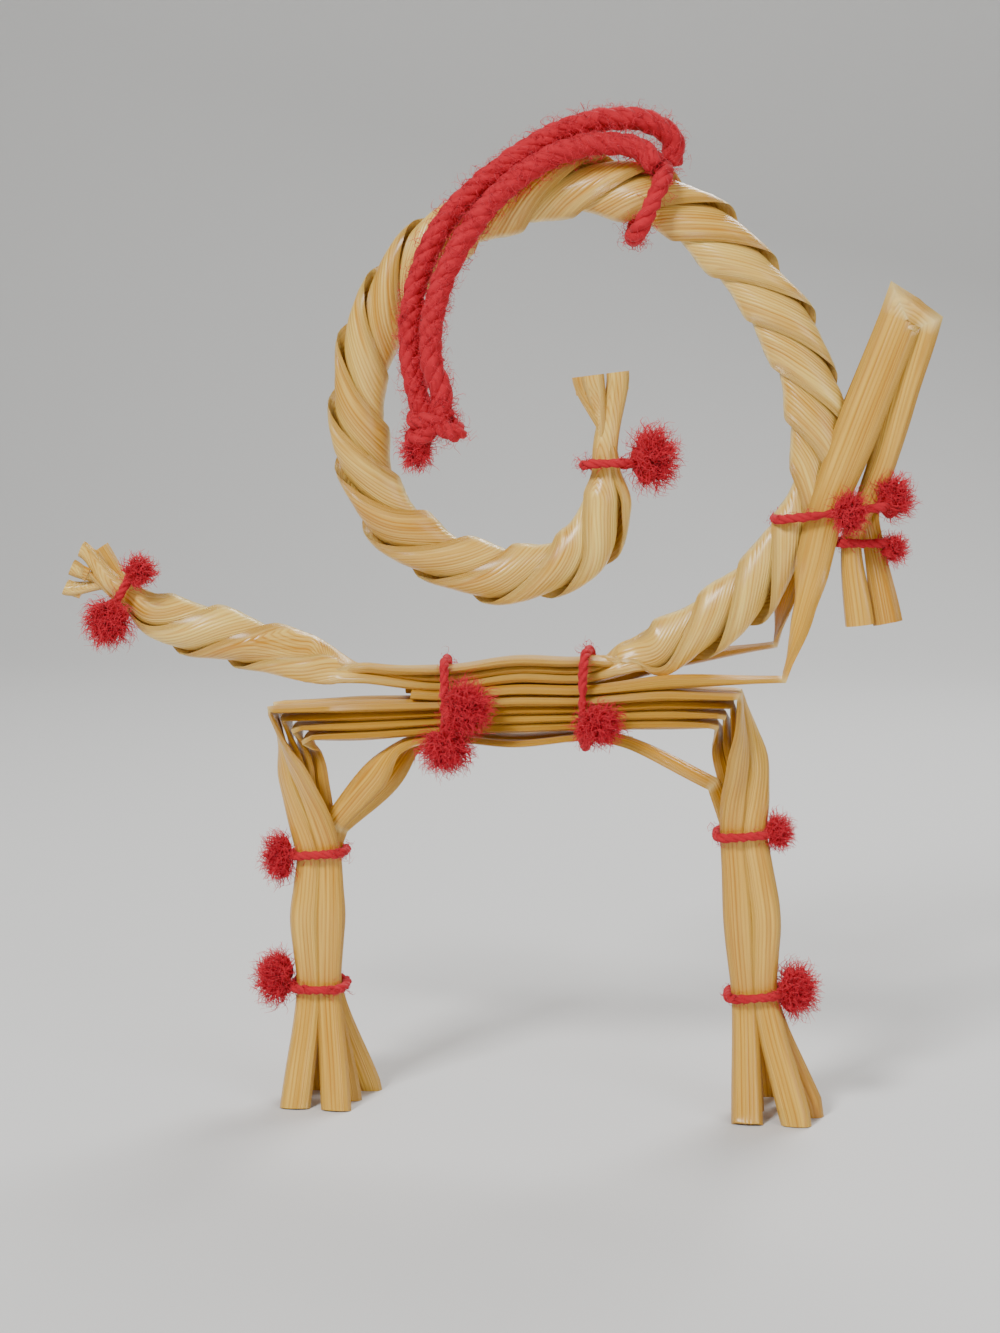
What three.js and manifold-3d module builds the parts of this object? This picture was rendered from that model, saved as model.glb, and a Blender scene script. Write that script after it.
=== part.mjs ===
// A straw goat ornament: flattened cereal straws folded, plaited and tied with red wool yarn.
// Millimetres, +Z up. The goat looks along +X and its near side faces -Y.
// It stands on the cut straw ends of its two leg bundles at z = 0.
import * as THREE from 'three';
import { mergeVertices } from 'three/addons/utils/BufferGeometryUtils.js';
import Module from 'manifold-3d';

const wasm = await Module();
wasm.setup();

// ---------------------------------------------------------------- driving dimensions
const LAYER = 0.92;                // pitch of straws stacked flat in a bundle
const LANE = 1.42;                 // sideways place of the two columns in a bundle
const PLAIT_SWING = 1.65;          // how far a plaited straw swings to each side
const PLAIT_LIFT = 1.0;            // how far it rises over and dips under the others
const PLAIT_TILT = 0.7;            // how far it rolls as it dives under, radians
const PLAIT_PERIOD = 25;           // length of one full swing there and back
const TIE_YARN = 1.1;              // yarn pulled tight round a bundle
const HANGER_YARN = 2.2;           // the same yarn, slack
const CLEARANCE = 0.25;            // between yarn and straw

const HIP_LEVEL = 43.8;            // height of the leg straws' middle at the hip
const SHOULDER_LEVEL = 46.0;       // and at the shoulder
const REAR_TIE = -3.9;             // x of the rear belly tie
const FRONT_TIE = 11.9;            // x of the front belly tie
const QUARTER = Math.PI / 2;
const MIDDLE = [0.81, -0.24];       // middle of the goat's box, hanging loop left out, in these coordinates

const STRAW_COLOR = 0xdcae5c;
const PALE_STRAW_COLOR = 0xe8c67c;
const YARN_COLOR = 0xd40f28;

// ---------------------------------------------------------------- routes
// A route is a list of marks [x, y, z, fold?]. Between folds it is a smooth curve; at a fold it
// turns sharply. Every station remembers its place between the marks as a fractional index, so
// widths, turns and lanes are given as one value per mark.
function makeRoute(marks, step) {
  const stations = [];
  let first = 0;
  for (let last = 1; last < marks.length; last += 1) {
    const ends = last === marks.length - 1 || marks[last][3] === 'fold';
    if (!ends) continue;
    const points = marks.slice(first, last + 1).map(([x, y, z]) => new THREE.Vector3(x, y, z));
    const curve = points.length === 2
      ? new THREE.LineCurve3(points[0], points[1])
      : new THREE.CatmullRomCurve3(points, false, 'centripetal');
    const spans = points.length - 1;
    for (let span = 0; span < spans; span += 1) {
      const length = points[span].distanceTo(points[span + 1]);
      const count = Math.max(1, Math.round(length / step));
      for (let i = (span === 0 && first > 0) ? 1 : (span === 0 ? 0 : 1); i <= count; i += 1) {
        const f = i / count;
        stations.push({ point: curve.getPoint((span + f) / spans), mark: first + span + f });
      }
    }
    first = last;
  }
  addFrames(stations);
  return stations;
}

// The frame of a station: along is the route's direction, side lies in the goat's plane,
// and depth points away from the near side. A fold's rings sit in its mitre plane.
function addFrames(stations) {
  let distance = 0;
  stations.forEach((station, i) => {
    const before = stations[Math.max(i - 1, 0)].point;
    const after = stations[Math.min(i + 1, stations.length - 1)].point;
    const inward = station.point.clone().sub(before);
    const outward = after.clone().sub(station.point);
    distance += inward.length();
    if (i === 0) inward.copy(outward);
    if (i === stations.length - 1) outward.copy(inward);
    inward.normalize();
    outward.normalize();
    station.distance = distance;
    station.along = inward.clone().add(outward).normalize();
    station.mitre = 1 / Math.max(0.5, inward.dot(station.along));
    const away = new THREE.Vector3(0, 1, 0);
    station.depth = away.addScaledVector(station.along, -away.dot(station.along)).normalize();
    station.side = station.along.clone().cross(station.depth);
  });
}

// One value per mark, eased from mark to mark.
function valueAt(values, station) {
  if (typeof values === 'number') return values;
  const k = Math.min(Math.floor(station.mark), values.length - 2);
  const f = station.mark - k;
  const eased = f * f * (3 - 2 * f);
  return values[k] + (values[k + 1] - values[k]) * eased;
}

// A point in a station's cross-section, across and through the bundle, turned by `turn` radians.
function offsetPoint(station, across, through, turn) {
  const side = across * Math.cos(turn) - through * Math.sin(turn);
  const depth = across * Math.sin(turn) + through * Math.cos(turn);
  return station.point.clone()
    .addScaledVector(station.side, side * station.mitre)
    .addScaledVector(station.depth, depth);
}

// ---------------------------------------------------------------- closed bodies
// Rings of equal size, joined side by side and capped flat at both ends. Each twisted side is
// split along the diagonal nearer the middle, so it hollows rather than bulges.
function loft(rings) {
  const sides = rings[0].length;
  const points = rings.flat();
  const position = points.flatMap((p) => [p.x, p.y, p.z]);
  const index = [];
  const reach = (p, q, middle) => p.clone().add(q).multiplyScalar(0.5).distanceTo(middle);
  for (let i = 0; i + 1 < rings.length; i += 1) {
    const pair = [...rings[i], ...rings[i + 1]];
    const middle = pair.reduce((sum, p) => sum.add(p), new THREE.Vector3()).divideScalar(pair.length);
    for (let j = 0; j < sides; j += 1) {
      const a = i * sides + j;
      const b = i * sides + (j + 1) % sides;
      const [c, d] = [b + sides, a + sides];
      if (reach(points[a], points[c], middle) <= reach(points[b], points[d], middle)) {
        index.push(a, b, c, a, c, d);
      } else {
        index.push(a, b, d, b, c, d);
      }
    }
  }
  const end = (rings.length - 1) * sides;
  for (let j = 1; j + 1 < sides; j += 1) {
    index.push(0, j + 1, j, end, end + j, end + j + 1);
  }
  const geometry = new THREE.BufferGeometry();
  geometry.setAttribute('position', new THREE.Float32BufferAttribute(position, 3));
  geometry.setIndex(index);
  return outward(geometry);
}

function signedVolume(geometry) {
  const p = geometry.getAttribute('position');
  const [a, b, c] = [new THREE.Vector3(), new THREE.Vector3(), new THREE.Vector3()];
  let total = 0;
  for (let i = 0; i < geometry.index.count; i += 3) {
    a.fromBufferAttribute(p, geometry.index.getX(i));
    b.fromBufferAttribute(p, geometry.index.getX(i + 1));
    c.fromBufferAttribute(p, geometry.index.getX(i + 2));
    total += a.dot(b.cross(c)) / 6;
  }
  return total;
}

function outward(geometry) {
  if (signedVolume(geometry) < 0) {
    const index = geometry.index;
    for (let i = 0; i < index.count; i += 3) {
      const second = index.getX(i + 1);
      index.setX(i + 1, index.getX(i + 2));
      index.setX(i + 2, second);
    }
  }
  geometry.computeVertexNormals();
  return geometry;
}

// A flat straw along a route. across, through, width, thickness, turn and roll are one value per
// mark or functions of the station. Ends marked as standing are cut level with the ground.
function strawGeometry(stations, {
  across = 0, through = 0, width, thickness, turn, roll = 0, standing = false,
}) {
  const read = (value, station) => (typeof value === 'function' ? value(station) : valueAt(value, station));
  const rings = stations.map((station) => {
    const [a, b] = [read(across, station), read(through, station)];
    const [w, t] = [read(width, station) / 2, read(thickness, station) / 2];
    const [angle, tilt] = [read(turn, station), read(roll, station)];
    return [[-w, -t], [w, -t], [w, t], [-w, t]].map(([u, v]) => offsetPoint(
      station,
      a + u * Math.cos(tilt) - v * Math.sin(tilt),
      b + u * Math.sin(tilt) + v * Math.cos(tilt),
      angle,
    ));
  });
  if (standing) {
    rings[0].forEach((p) => p.setZ(0));
    if (standing === 'both') rings.at(-1).forEach((p) => p.setZ(0));
  }
  return loft(rings);
}

// ---------------------------------------------------------------- leg straws
// From the rear foot up the rear leg, along the belly and down the front leg to the front foot.
const LEG_MARKS = [
  [-18.2, 0, 0],                        // 0 rear sole
  [-18.5, 0, 13.3],                     // 1 rear lower tie
  [-18.5, 0, 21.3],                     // 2 rear shin
  [-18.4, 0, 28.7],                     // 3 rear upper tie
  [-20.0, 0, 37.5],                     // 4 rear thigh
  [-21.5, 0, HIP_LEVEL, 'fold'],        // 5 hip
  [-13.0, 0, 44.2],                     // 6 rump
  [REAR_TIE, 0, 44.8],                  // 7 rear belly tie
  [4.0, 0, 45.2],                       // 8 belly
  [FRONT_TIE, 0, 45.5],                 // 9 front belly tie
  [20.0, 0, 46.0],                      // 10 chest
  [27.4, 0, SHOULDER_LEVEL, 'fold'],    // 11 shoulder
  [28.7, 0, 39.5],                      // 12 front thigh
  [29.3, 0, 32.1],                      // 13 front upper tie
  [30.4, 0, 22.5],                      // 14 front shin
  [30.8, 0, 13.8],                      // 15 front lower tie
  [33.0, 0, 0],                         // 16 front sole
];
const LEG = {
  turn: [0, 0, 0, 0, 0.5, 1, 1, 1, 1, 1, 1, 1, 0.5, 0, 0, 0, 0].map((turns) => turns * QUARTER),
  lane: [1.15, 0.79, 1, 0.79, 1.1, 1.15, 1.1, 1, 1.05, 1, 1.1, 1.15, 1.1, 0.79, 1.05, 0.79, 1.15],
  layer: [1, 0.8, 1.15, 0.8, 1.15, 1.2, 1.2, 1, 1.12, 1, 1.2, 1.2, 1.15, 0.8, 1.15, 0.8, 1],
  narrow: [3.1, 2.1, 2.7, 2.1, 2.9, 3.0, 2.9, 2.6, 2.75, 2.6, 2.9, 3.0, 2.9, 2.1, 2.8, 2.1, 3.1],
  open: [3.1, 2.1, 2.7, 2.1, 3.4, 4.6, 4.8, 4.8, 4.8, 4.8, 4.8, 4.6, 3.4, 2.1, 2.8, 2.1, 3.1],
  thickness: [1.1, 0.6, 0.75, 0.6, 0.75, 0.7, 0.7, 0.7, 0.7, 0.7, 0.7, 0.7, 0.75, 0.6, 0.75, 0.6, 1.1],
  opening: [0, 0, 0, 0, 0.3, 1, 1, 1, 1, 1, 1, 1, 0.3, 0, 0, 0, 0],
};
const REAR = { sole: 0, lowerTie: 1, shin: 2, upperTie: 3, thigh: 4 };
const FRONT = { sole: 16, lowerTie: 15, shin: 14, upperTie: 13, thigh: 12 };
// lane: -1 on the brace's side of the leg, 1 on the other; layer: 1 outermost at the folds, 4 inmost.
// opens: lies at full width along the body. rear and front: how far the cut ends are fanned, in x
// and y, from their places in the bundle.
const LEG_STRAWS = [
  { lane: -1, layer: 1, opens: false, rear: [0.6, -3.6], front: [-1.2, -3.6] },
  { lane: 1, layer: 1, opens: false, rear: [-0.9, -3.4], front: [1.0, -3.4] },
  { lane: 1, layer: 2, opens: true, rear: [-1.4, -0.9], front: [2.6, -0.9] },
  { lane: 1, layer: 3, opens: true, rear: [0.2, 1.9], front: [1.1, 1.9] },
  { lane: 0, layer: 4, opens: true, rear: [0.6, 4.0], front: [-0.6, 4.0] },
];
const legRoute = makeRoute(LEG_MARKS, 4.2);
const layerPlace = (layer) => (layer - 2.5) * LAYER;

// How far a station is past a lower tie towards the cut ends: 0 at the tie, 1 at the sole.
const fanAmount = (station) => Math.max(
  0,
  REAR.lowerTie - station.mark,
  station.mark - FRONT.lowerTie,
) ** 1.4;

function legStraw({ lane, layer, opens, rear, front }) {
  const toe = (station) => (station.mark < REAR.upperTie ? [-rear[0], rear[1]] : front);
  return strawGeometry(legRoute, {
    across: (station) => lane * LANE * valueAt(LEG.lane, station)
      * (opens ? 1 - valueAt(LEG.opening, station) : 1) + fanAmount(station) * toe(station)[0],
    through: (station) => layerPlace(layer) * valueAt(LEG.layer, station)
      + fanAmount(station) * toe(station)[1],
    width: opens ? LEG.open : LEG.narrow,
    thickness: LEG.thickness,
    turn: LEG.turn,
    standing: 'both',
  });
}

// ---------------------------------------------------------------- brace straws
// A place inside a leg bundle, where a brace straw fills a lane the leg straws leave free.
function inLeg(mark, layer, fan = [0, 0]) {
  const [x, , z] = LEG_MARKS[mark];
  const towardsBrace = mark < REAR.thigh ? 1 : -1;
  return [
    x + towardsBrace * LANE * LEG.lane[mark] + fan[0],
    layerPlace(layer) * LEG.layer[mark] + fan[1],
    z,
  ];
}

const fromRearFoot = (layer, fan) => [
  inLeg(REAR.sole, layer, fan),
  inLeg(REAR.lowerTie, layer),
  inLeg(REAR.shin, layer),
  inLeg(REAR.upperTie, layer),
];
const SQUEEZE = { width: [3.1, 2.1, 2.5, 2.05], thickness: [1.1, 0.6, 0.75, 0.6], turn: [0, 0, 0, 0] };

function longBrace() {
  const layer = 2;
  const marks = [
    ...fromRearFoot(layer, [1.2, -0.7]),
    [-16.9, -0.5, 31.9, 'fold'],         // leaves the rear leg
    [-12.6, -0.7, 37.0],
    [-8.6, -1.3, 41.5],                   // reaches the belly
    [REAR_TIE, -1.45, 42.35],
    [4.0, -1.5, 41.9],
    [FRONT_TIE, -1.45, 42.75],
    [16.0, -1.3, 42.4],
    [26.0, -0.55, 37.6, 'fold'],          // meets the front leg
    inLeg(FRONT.upperTie, layer),
    inLeg(FRONT.shin, layer),
    inLeg(FRONT.lowerTie, layer),
    inLeg(FRONT.sole, layer, [-1.0, 0.3]),
  ];
  return strawGeometry(makeRoute(marks, 4.5), {
    width: [...SQUEEZE.width, 2.2, 2.8, 2.7, 2.6, 2.7, 2.6, 2.4, 2.0, ...SQUEEZE.width.toReversed()],
    thickness: [...SQUEEZE.thickness, 0.65, 0.8, 0.7, 0.7, 0.7, 0.7, 0.7, 0.65, ...SQUEEZE.thickness.toReversed()],
    turn: [...SQUEEZE.turn, 0, 0.1, 0.8, 1, 1, 1, 0.8, 0.5, 0, 0, 0, 0].map((turns) => turns * QUARTER),
    standing: 'both',
  });
}

function shortBrace() {
  const marks = [
    ...fromRearFoot(3, [3.0, 2.2]),
    [-16.4, 0.25, 31.7, 'fold'],           // leaves the rear leg
    [-11.4, 0.9, 36.6],
    [-6.9, 1.4, 41.4],                    // reaches the belly
    [REAR_TIE, 1.45, 42.35],
    [4.0, 1.5, 42.2],
    [FRONT_TIE, 1.45, 42.7],
    [16.8, 1.35, 41.8],                   // cut end
  ];
  return strawGeometry(makeRoute(marks, 4.5), {
    width: [...SQUEEZE.width, 2.2, 2.8, 2.7, 2.6, 2.7, 2.6, 2.7],
    thickness: [...SQUEEZE.thickness, 0.65, 0.8, 0.7, 0.7, 0.7, 0.7, 0.7],
    turn: [...SQUEEZE.turn, 0, 0.1, 0.8, 1, 1, 1, 1].map((turns) => turns * QUARTER),
    standing: 'rear',
  });
}

// ---------------------------------------------------------------- plaited straws
// Three straws run from the tail brush along the back and round the horn. In the plait each
// swings from side to side and over and under the others, a third of a period apart; along the
// back they lie still, turned flat.
const PLAIT_MARKS = [
  [-46.2, 0, 60.8],              // 0 tail tips
  [-40.2, 0, 58.0],              // 1 tail tie
  [-35.8, 0, 55.1],              // 2 tail
  [-27.2, 0, 52.7],              // 3 tail
  [-20.0, 0, 50.6],              // 4 tail root
  [-12.0, 0, 49.3],              // 5 rump
  [REAR_TIE, 0, 48.9],           // 6 rear belly tie
  [4.0, 0, 50.0],                // 7 back
  [FRONT_TIE, 0, 50.1],          // 8 front belly tie
  [16.5, 0, 51.7],               // 9 plait opens
  [20.5, 0, 52.7],               // 10 neck plait
  [28.5, 0, 58.0],               // 11 neck plait
  [33.0, 0, 63.4],               // 12 throat
  [35.6, 0, 68.2],               // 13 head tie
  [36.6, 0, 77.5],               // 14 ring, front
  [31.3, 0, 90.4],               // 15
  [19.2, 0, 101.0],              // 16 ring, top, under the hanging loop
  [5.4, 0, 101.6],               // 17
  [-8.6, 0, 93.1],               // 18
  [-13.6, 0, 79.0],              // 19 ring, back
  [-9.6, 0, 66.2],               // 20
  [2.4, 0, 60.4],                // 21 ring, bottom
  [11.2, 0, 62.9],               // 22
  [13.8, 0, 68.5],               // 23
  [14.0, 0, 72.7],               // 24 horn tip tie
  [12.8, 0, 82.4],               // 25 horn tips
];
const TAIL_TIE = 1;
const BACK = 7;
const HORN_TIP_TIE = 24;
const PLAIT = {
  pace: [0, 0, 1, 1, 0.5, ...Array(5).fill(0), ...Array(13).fill(1), 0.4, 0, 0],
  turn: [0, 0, 0, 0, 0.2, 1, 1, 1, 1, 0.5, ...Array(16).fill(0)].map((turns) => turns * QUARTER),
  roll: [0.6, 1, 1, 1, 0.8, 0, 0, 0, 0, 0.3, ...Array(15).fill(1), 0.4],
  swing: [1.9, 0.85, ...Array(11).fill(1), 0.95, ...Array(9).fill(1), 0.95, 0.85, 1.6],
  width: [3.2, 1.75, 2.1, 2.1, 2.1, 2.2, 2.2, 2.3, 2.2, 2.1, 2.1, 2.1, 2.1, 1.85, ...Array(9).fill(2.1), 1.9, 1.65, 3.1],
  thickness: [0.8, 0.45, ...Array(22).fill(0.42), 0.45, 0.8],
};

const plaitRoute = makeRoute(PLAIT_MARKS, 2.1);

// Advance each station's phase by its pace, so that the three straws rest compactly on the back.
function addPhase(stations) {
  let phase = 0;
  stations.forEach((station, i) => {
    const run = i ? station.distance - stations[i - 1].distance : 0;
    phase += valueAt(PLAIT.pace, station) * run * 2 * Math.PI / PLAIT_PERIOD;
    station.phase = phase;
  });
  const resting = stations.find((station) => station.mark >= BACK).phase;
  stations.forEach((station) => {
    station.phase += QUARTER - resting;
  });
}
addPhase(plaitRoute);

function plaitStraw(number) {
  const phase = (station) => station.phase + number * 2 * Math.PI / 3;
  return strawGeometry(plaitRoute, {
    across: (station) => PLAIT_SWING * valueAt(PLAIT.swing, station) * Math.sin(phase(station)),
    through: (station) => -PLAIT_LIFT * Math.sin(2 * phase(station)),
    roll: (station) => -PLAIT_TILT * valueAt(PLAIT.roll, station) * Math.cos(phase(station) - QUARTER / 6),
    width: PLAIT.width,
    thickness: PLAIT.thickness,
    turn: PLAIT.turn,
  });
}

// The fourth tip in the tail brush: a short straw gripped by the tail tie behind the plait.
function tailFiller() {
  const marks = [[-43.4, 1.9, 63.0], [-40.6, 2.0, 58.8], [-37.5, 2.0, 56.5]];
  return strawGeometry(makeRoute(marks, 4), { width: [1.5, 1.3, 1.2], thickness: 0.5, turn: 0 });
}

// ---------------------------------------------------------------- neck straws
// From the body to the fold under the throat, up the face, over the top of the head, down the
// back of the head and out below the head as the beard.
const NECK_TURN = [1, 1, 1, 1, 1, 1, 0.5, 0, ...Array(9).fill(0)].map((turns) => turns * QUARTER);
const NECK = {
  near: {
    marks: [
      [-7.5, -1.45, 47.3], [REAR_TIE, -1.45, 47.2], [4, -1.5, 48.0], [FRONT_TIE, -1.45, 48.05],
      [21.0, -1.7, 49.1], [33.4, -1.9, 49.7, 'fold'], [35.2, -2.2, 57.0], [36.5, -2.25, 63.0],
      [37.6, -2.1, 67.8], [40.7, -1.9, 76.5], [45.3, -1.5, 88.9, 'fold'], [47.2, -0.7, 87.6, 'fold'],
      [45.2, -0.7, 79.7], [43.4, -0.6, 72.5], [41.5, -0.5, 67.6], [40.5, -0.5, 64.6], [41.6, -0.4, 55.4],
    ],
    width: [2.6, 2.5, 2.6, 2.5, 2.6, 2.4, 3.2, 4.0, 3.6, 4.5, 4.4, 4.2, 3.6, 3.0, 2.4, 2.0, 2.9],
  },
  far: {
    marks: [
      [-8.5, 1.45, 47.3], [REAR_TIE, 1.45, 47.2], [4, 1.5, 48.0], [FRONT_TIE, 1.5, 48.05],
      [22.5, 2.9, 50.9], [32.6, 3.0, 52.6, 'fold'], [33.9, 2.6, 58.5], [35.6, 2.25, 63.5],
      [37.0, 2.1, 67.6], [40.7, 1.9, 76.5], [45.3, 1.5, 88.5, 'fold'], [47.0, 0.7, 87.2, 'fold'],
      [45.2, 0.7, 79.7], [43.4, 0.6, 72.5], [42.2, 0.5, 67.6], [42.75, 0.5, 64.6], [44.6, 0.4, 55.6],
    ],
    width: [2.6, 2.5, 2.6, 2.5, 2.3, 2.2, 3.0, 4.0, 3.6, 4.5, 4.4, 4.2, 3.6, 3.0, 2.4, 2.0, 2.9],
  },
};
const NECK_THICKNESS = [...Array(14).fill(0.65), 0.65, 0.7, 1.5];

const neckStraw = ({ marks, width }) => strawGeometry(makeRoute(marks, 4.2), {
  width,
  thickness: NECK_THICKNESS,
  turn: NECK_TURN,
});

// ---------------------------------------------------------------- yarn
// A closed loop of yarn round a bundle, in a station's cross-section: a rounded rectangle.
function yarnLoop({ center, side, depth }, halfSide, halfDepth, yarn) {
  const reach = CLEARANCE + yarn / 2;
  const squareness = 0.45;
  const steps = 14;
  const round = (v) => Math.sign(v) * Math.abs(v) ** squareness;
  const points = Array.from({ length: steps }, (_, i) => {
    const angle = (i / steps) * 2 * Math.PI;
    return center.clone()
      .addScaledVector(side, round(Math.cos(angle)) * (halfSide + reach))
      .addScaledVector(depth, round(Math.sin(angle)) * (halfDepth + reach));
  });
  const geometry = new THREE.TubeGeometry(new THREE.CatmullRomCurve3(points, true), steps * 2, yarn / 2, 5, true);
  return geometry;
}

// A tuft of cut yarn: a lumpy ball, longer one way than the other.
function tuftGeometry([x, y, z], [rx, ry, rz]) {
  const ball = new THREE.IcosahedronGeometry(1, 1);
  const p = ball.getAttribute('position');
  const v = new THREE.Vector3();
  for (let i = 0; i < p.count; i += 1) {
    v.fromBufferAttribute(p, i);
    const lump = 1 + 0.1 * Math.sin(5 * v.x + 3 * v.z) * Math.cos(4 * v.y - 2 * v.x);
    p.setXYZ(i, x + v.x * rx * lump, y + v.y * ry * lump, z + v.z * rz * lump);
  }
  return ball;
}

function toManifold(geometry) {
  const bare = geometry.clone();
  bare.deleteAttribute('normal');
  bare.deleteAttribute('uv');
  const merged = mergeVertices(bare, 1e-4);
  return new wasm.Manifold(new wasm.Mesh({
    numProp: 3,
    vertProperties: new Float32Array(merged.getAttribute('position').array),
    triVerts: new Uint32Array(merged.index.array),
  }));
}

function fromManifold(solid) {
  const mesh = solid.getMesh();
  const geometry = new THREE.BufferGeometry();
  geometry.setAttribute('position', new THREE.Float32BufferAttribute(mesh.vertProperties, 3));
  geometry.setIndex([...mesh.triVerts]);
  geometry.computeVertexNormals();
  return geometry;
}

const join = (geometries) => fromManifold(geometries.map(toManifold).reduce((all, next) => all.add(next)));

function stationNear(route, mark) {
  return route.reduce((best, s) => (Math.abs(s.mark - mark) < Math.abs(best.mark - mark) ? s : best));
}

const frameOf = ({ point, side, depth }, shift = [0, 0, 0]) => ({
  center: point.clone().add(new THREE.Vector3(...shift)), side, depth,
});

// Each tie is one length of yarn: its turn round the bundle and the tufts of its cut ends.
function tie(frame, [halfSide, halfDepth], tufts) {
  return join([
    yarnLoop(frame, halfSide, halfDepth, TIE_YARN),
    ...tufts.map(([place, size]) => tuftGeometry(place, size)),
  ]);
}

const LEG_BUNDLE = [2.2, 1.45];
const BODY_BUNDLE = [4.2, 3.0];
const PLAIT_BUNDLE = [2.2, 1.5];
const ring = (x, z, lean) => ({
  center: new THREE.Vector3(x, 0, z),
  side: new THREE.Vector3(-Math.sin(lean), 0, Math.cos(lean)),
  depth: new THREE.Vector3(0, 1, 0),
});

const TIES = {
  tie_tail: tie(frameOf(stationNear(plaitRoute, TAIL_TIE)), [2.1, 2.0], [
    [[-38.0, -2.6, 60.6], [1.7, 1.5, 1.6]],
    [[-41.4, -2.8, 55.0], [2.5, 1.7, 3.0]],
  ]),
  tie_belly_rear: tie(ring(REAR_TIE, 46.0, 0), BODY_BUNDLE, [
    [[-1.2, -4.9, 46.3], [2.9, 1.5, 3.2]],
    [[-3.4, -4.4, 41.7], [2.9, 1.6, 2.6]],
  ]),
  tie_belly_front: tie(ring(FRONT_TIE, 46.85, 0), [4.6, 3.0], [
    [[13.4, -4.9, 44.6], [2.7, 1.4, 2.3]],
  ]),
  tie_rear_leg_upper: tie(frameOf(stationNear(legRoute, REAR.upperTie)), LEG_BUNDLE, [
    [[-22.9, -0.6, 28.0], [1.4, 1.6, 3.4]],
  ]),
  tie_rear_leg_lower: tie(frameOf(stationNear(legRoute, REAR.lowerTie)), LEG_BUNDLE, [
    [[-23.5, -0.4, 13.9], [1.9, 1.7, 3.6]],
  ]),
  tie_front_leg_upper: tie(frameOf(stationNear(legRoute, FRONT.upperTie)), LEG_BUNDLE, [
    [[33.2, -0.5, 32.2], [1.3, 1.5, 2.3]],
  ]),
  tie_front_leg_lower: tie(frameOf(stationNear(legRoute, FRONT.lowerTie)), LEG_BUNDLE, [
    [[35.4, -0.4, 14.2], [2.0, 1.7, 3.3]],
  ]),
  tie_head: tie(ring(38.2, 67.7, 1.7), [5.5, 2.45], [
    [[39.9, -4.1, 67.8], [1.9, 1.4, 2.7]],
    [[45.4, -0.6, 68.9], [1.7, 1.7, 2.4]],
  ]),
  tie_beard: tie(ring(41.65, 64.4, QUARTER), [2.1, 1.0], [
    [[45.1, -0.5, 63.6], [1.3, 1.3, 1.5]],
  ]),
  tie_horn_tip: tie(frameOf(stationNear(plaitRoute, HORN_TIP_TIE)), PLAIT_BUNDLE, [
    [[18.9, -0.4, 73.4], [2.5, 1.9, 3.9]],
  ]),
};

// ---------------------------------------------------------------- hanging loop
// One length of yarn: hitched round the top of the horn, its two slack strands draped over and
// down in front of the horn's back, and the knot that joins their ends.
const HITCH_PLACE = { x: 18.2, z: 100.6, lean: -0.42 };
const OUTER_STRAND = [
  [20.5, 1.4, 105.0],                    // leaves the hitch behind the horn
  [20.7, 1.0, 107.2], [18.6, 0.2, 109.0], [14.4, -0.4, 109.5], [9.0, -1.4, 108.2], [4.0, -2.5, 105.3],
  [-0.2, -3.4, 102.0], [-3.6, -3.9, 98.3], [-5.9, -4.0, 93.6], [-7.1, -4.0, 88.6], [-7.1, -4.0, 84.2],
  [-6.2, -4.2, 79.7],                    // meets the knot
];
const INNER_STRAND = [
  [18.9, -2.6, 104.6],                   // leaves the hitch in front
  [17.4, -2.6, 106.0], [14.2, -2.7, 106.7], [10.2, -3.0, 106.2], [6.2, -3.8, 104.3], [2.4, -4.8, 101.2],
  [-0.6, -5.6, 97.4], [-3.0, -6.0, 93.0], [-4.4, -6.0, 88.4], [-4.6, -5.7, 84.0], [-3.5, -5.2, 79.8],
];
function hangerStrand(marks) {
  const curve = new THREE.CatmullRomCurve3(marks.map((p) => new THREE.Vector3(...p)), false, 'centripetal');
  const sides = 8;
  const outline = new THREE.Shape(Array.from({ length: sides }, (_, i) => {
    const angle = (i / sides) * 2 * Math.PI;
    return new THREE.Vector2(Math.cos(angle) * HANGER_YARN / 2, Math.sin(angle) * HANGER_YARN / 2);
  }));
  return new THREE.ExtrudeGeometry(outline, { steps: 24, bevelEnabled: false, extrudePath: curve });
}
const hangerHitch = () => yarnLoop(
  ring(HITCH_PLACE.x, HITCH_PLACE.z, HITCH_PLACE.lean), PLAIT_BUNDLE[0] + 0.5, PLAIT_BUNDLE[1], 1.7);
const hangerKnot = () => join([
  tuftGeometry([-5.0, -4.8, 77.2], [2.4, 1.8, 1.9]),
  tuftGeometry([-1.9, -5.1, 77.7], [2.0, 1.4, 1.5]),
  tuftGeometry([-6.2, -4.7, 73.9], [2.3, 1.5, 2.5]),
]);

// ---------------------------------------------------------------- the exported group
const group = new THREE.Group();
group.position.set(-MIDDLE[0], -MIDDLE[1], 0);

function add(name, geometry, color, roughness) {
  const mesh = new THREE.Mesh(geometry, new THREE.MeshStandardMaterial({ color, roughness, metalness: 0 }));
  mesh.name = name;
  group.add(mesh);
}
const addStraw = (name, geometry, color = STRAW_COLOR) => add(name, geometry, color, 0.45);
const addYarn = (name, geometry) => add(name, geometry, YARN_COLOR, 0.95);

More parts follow.
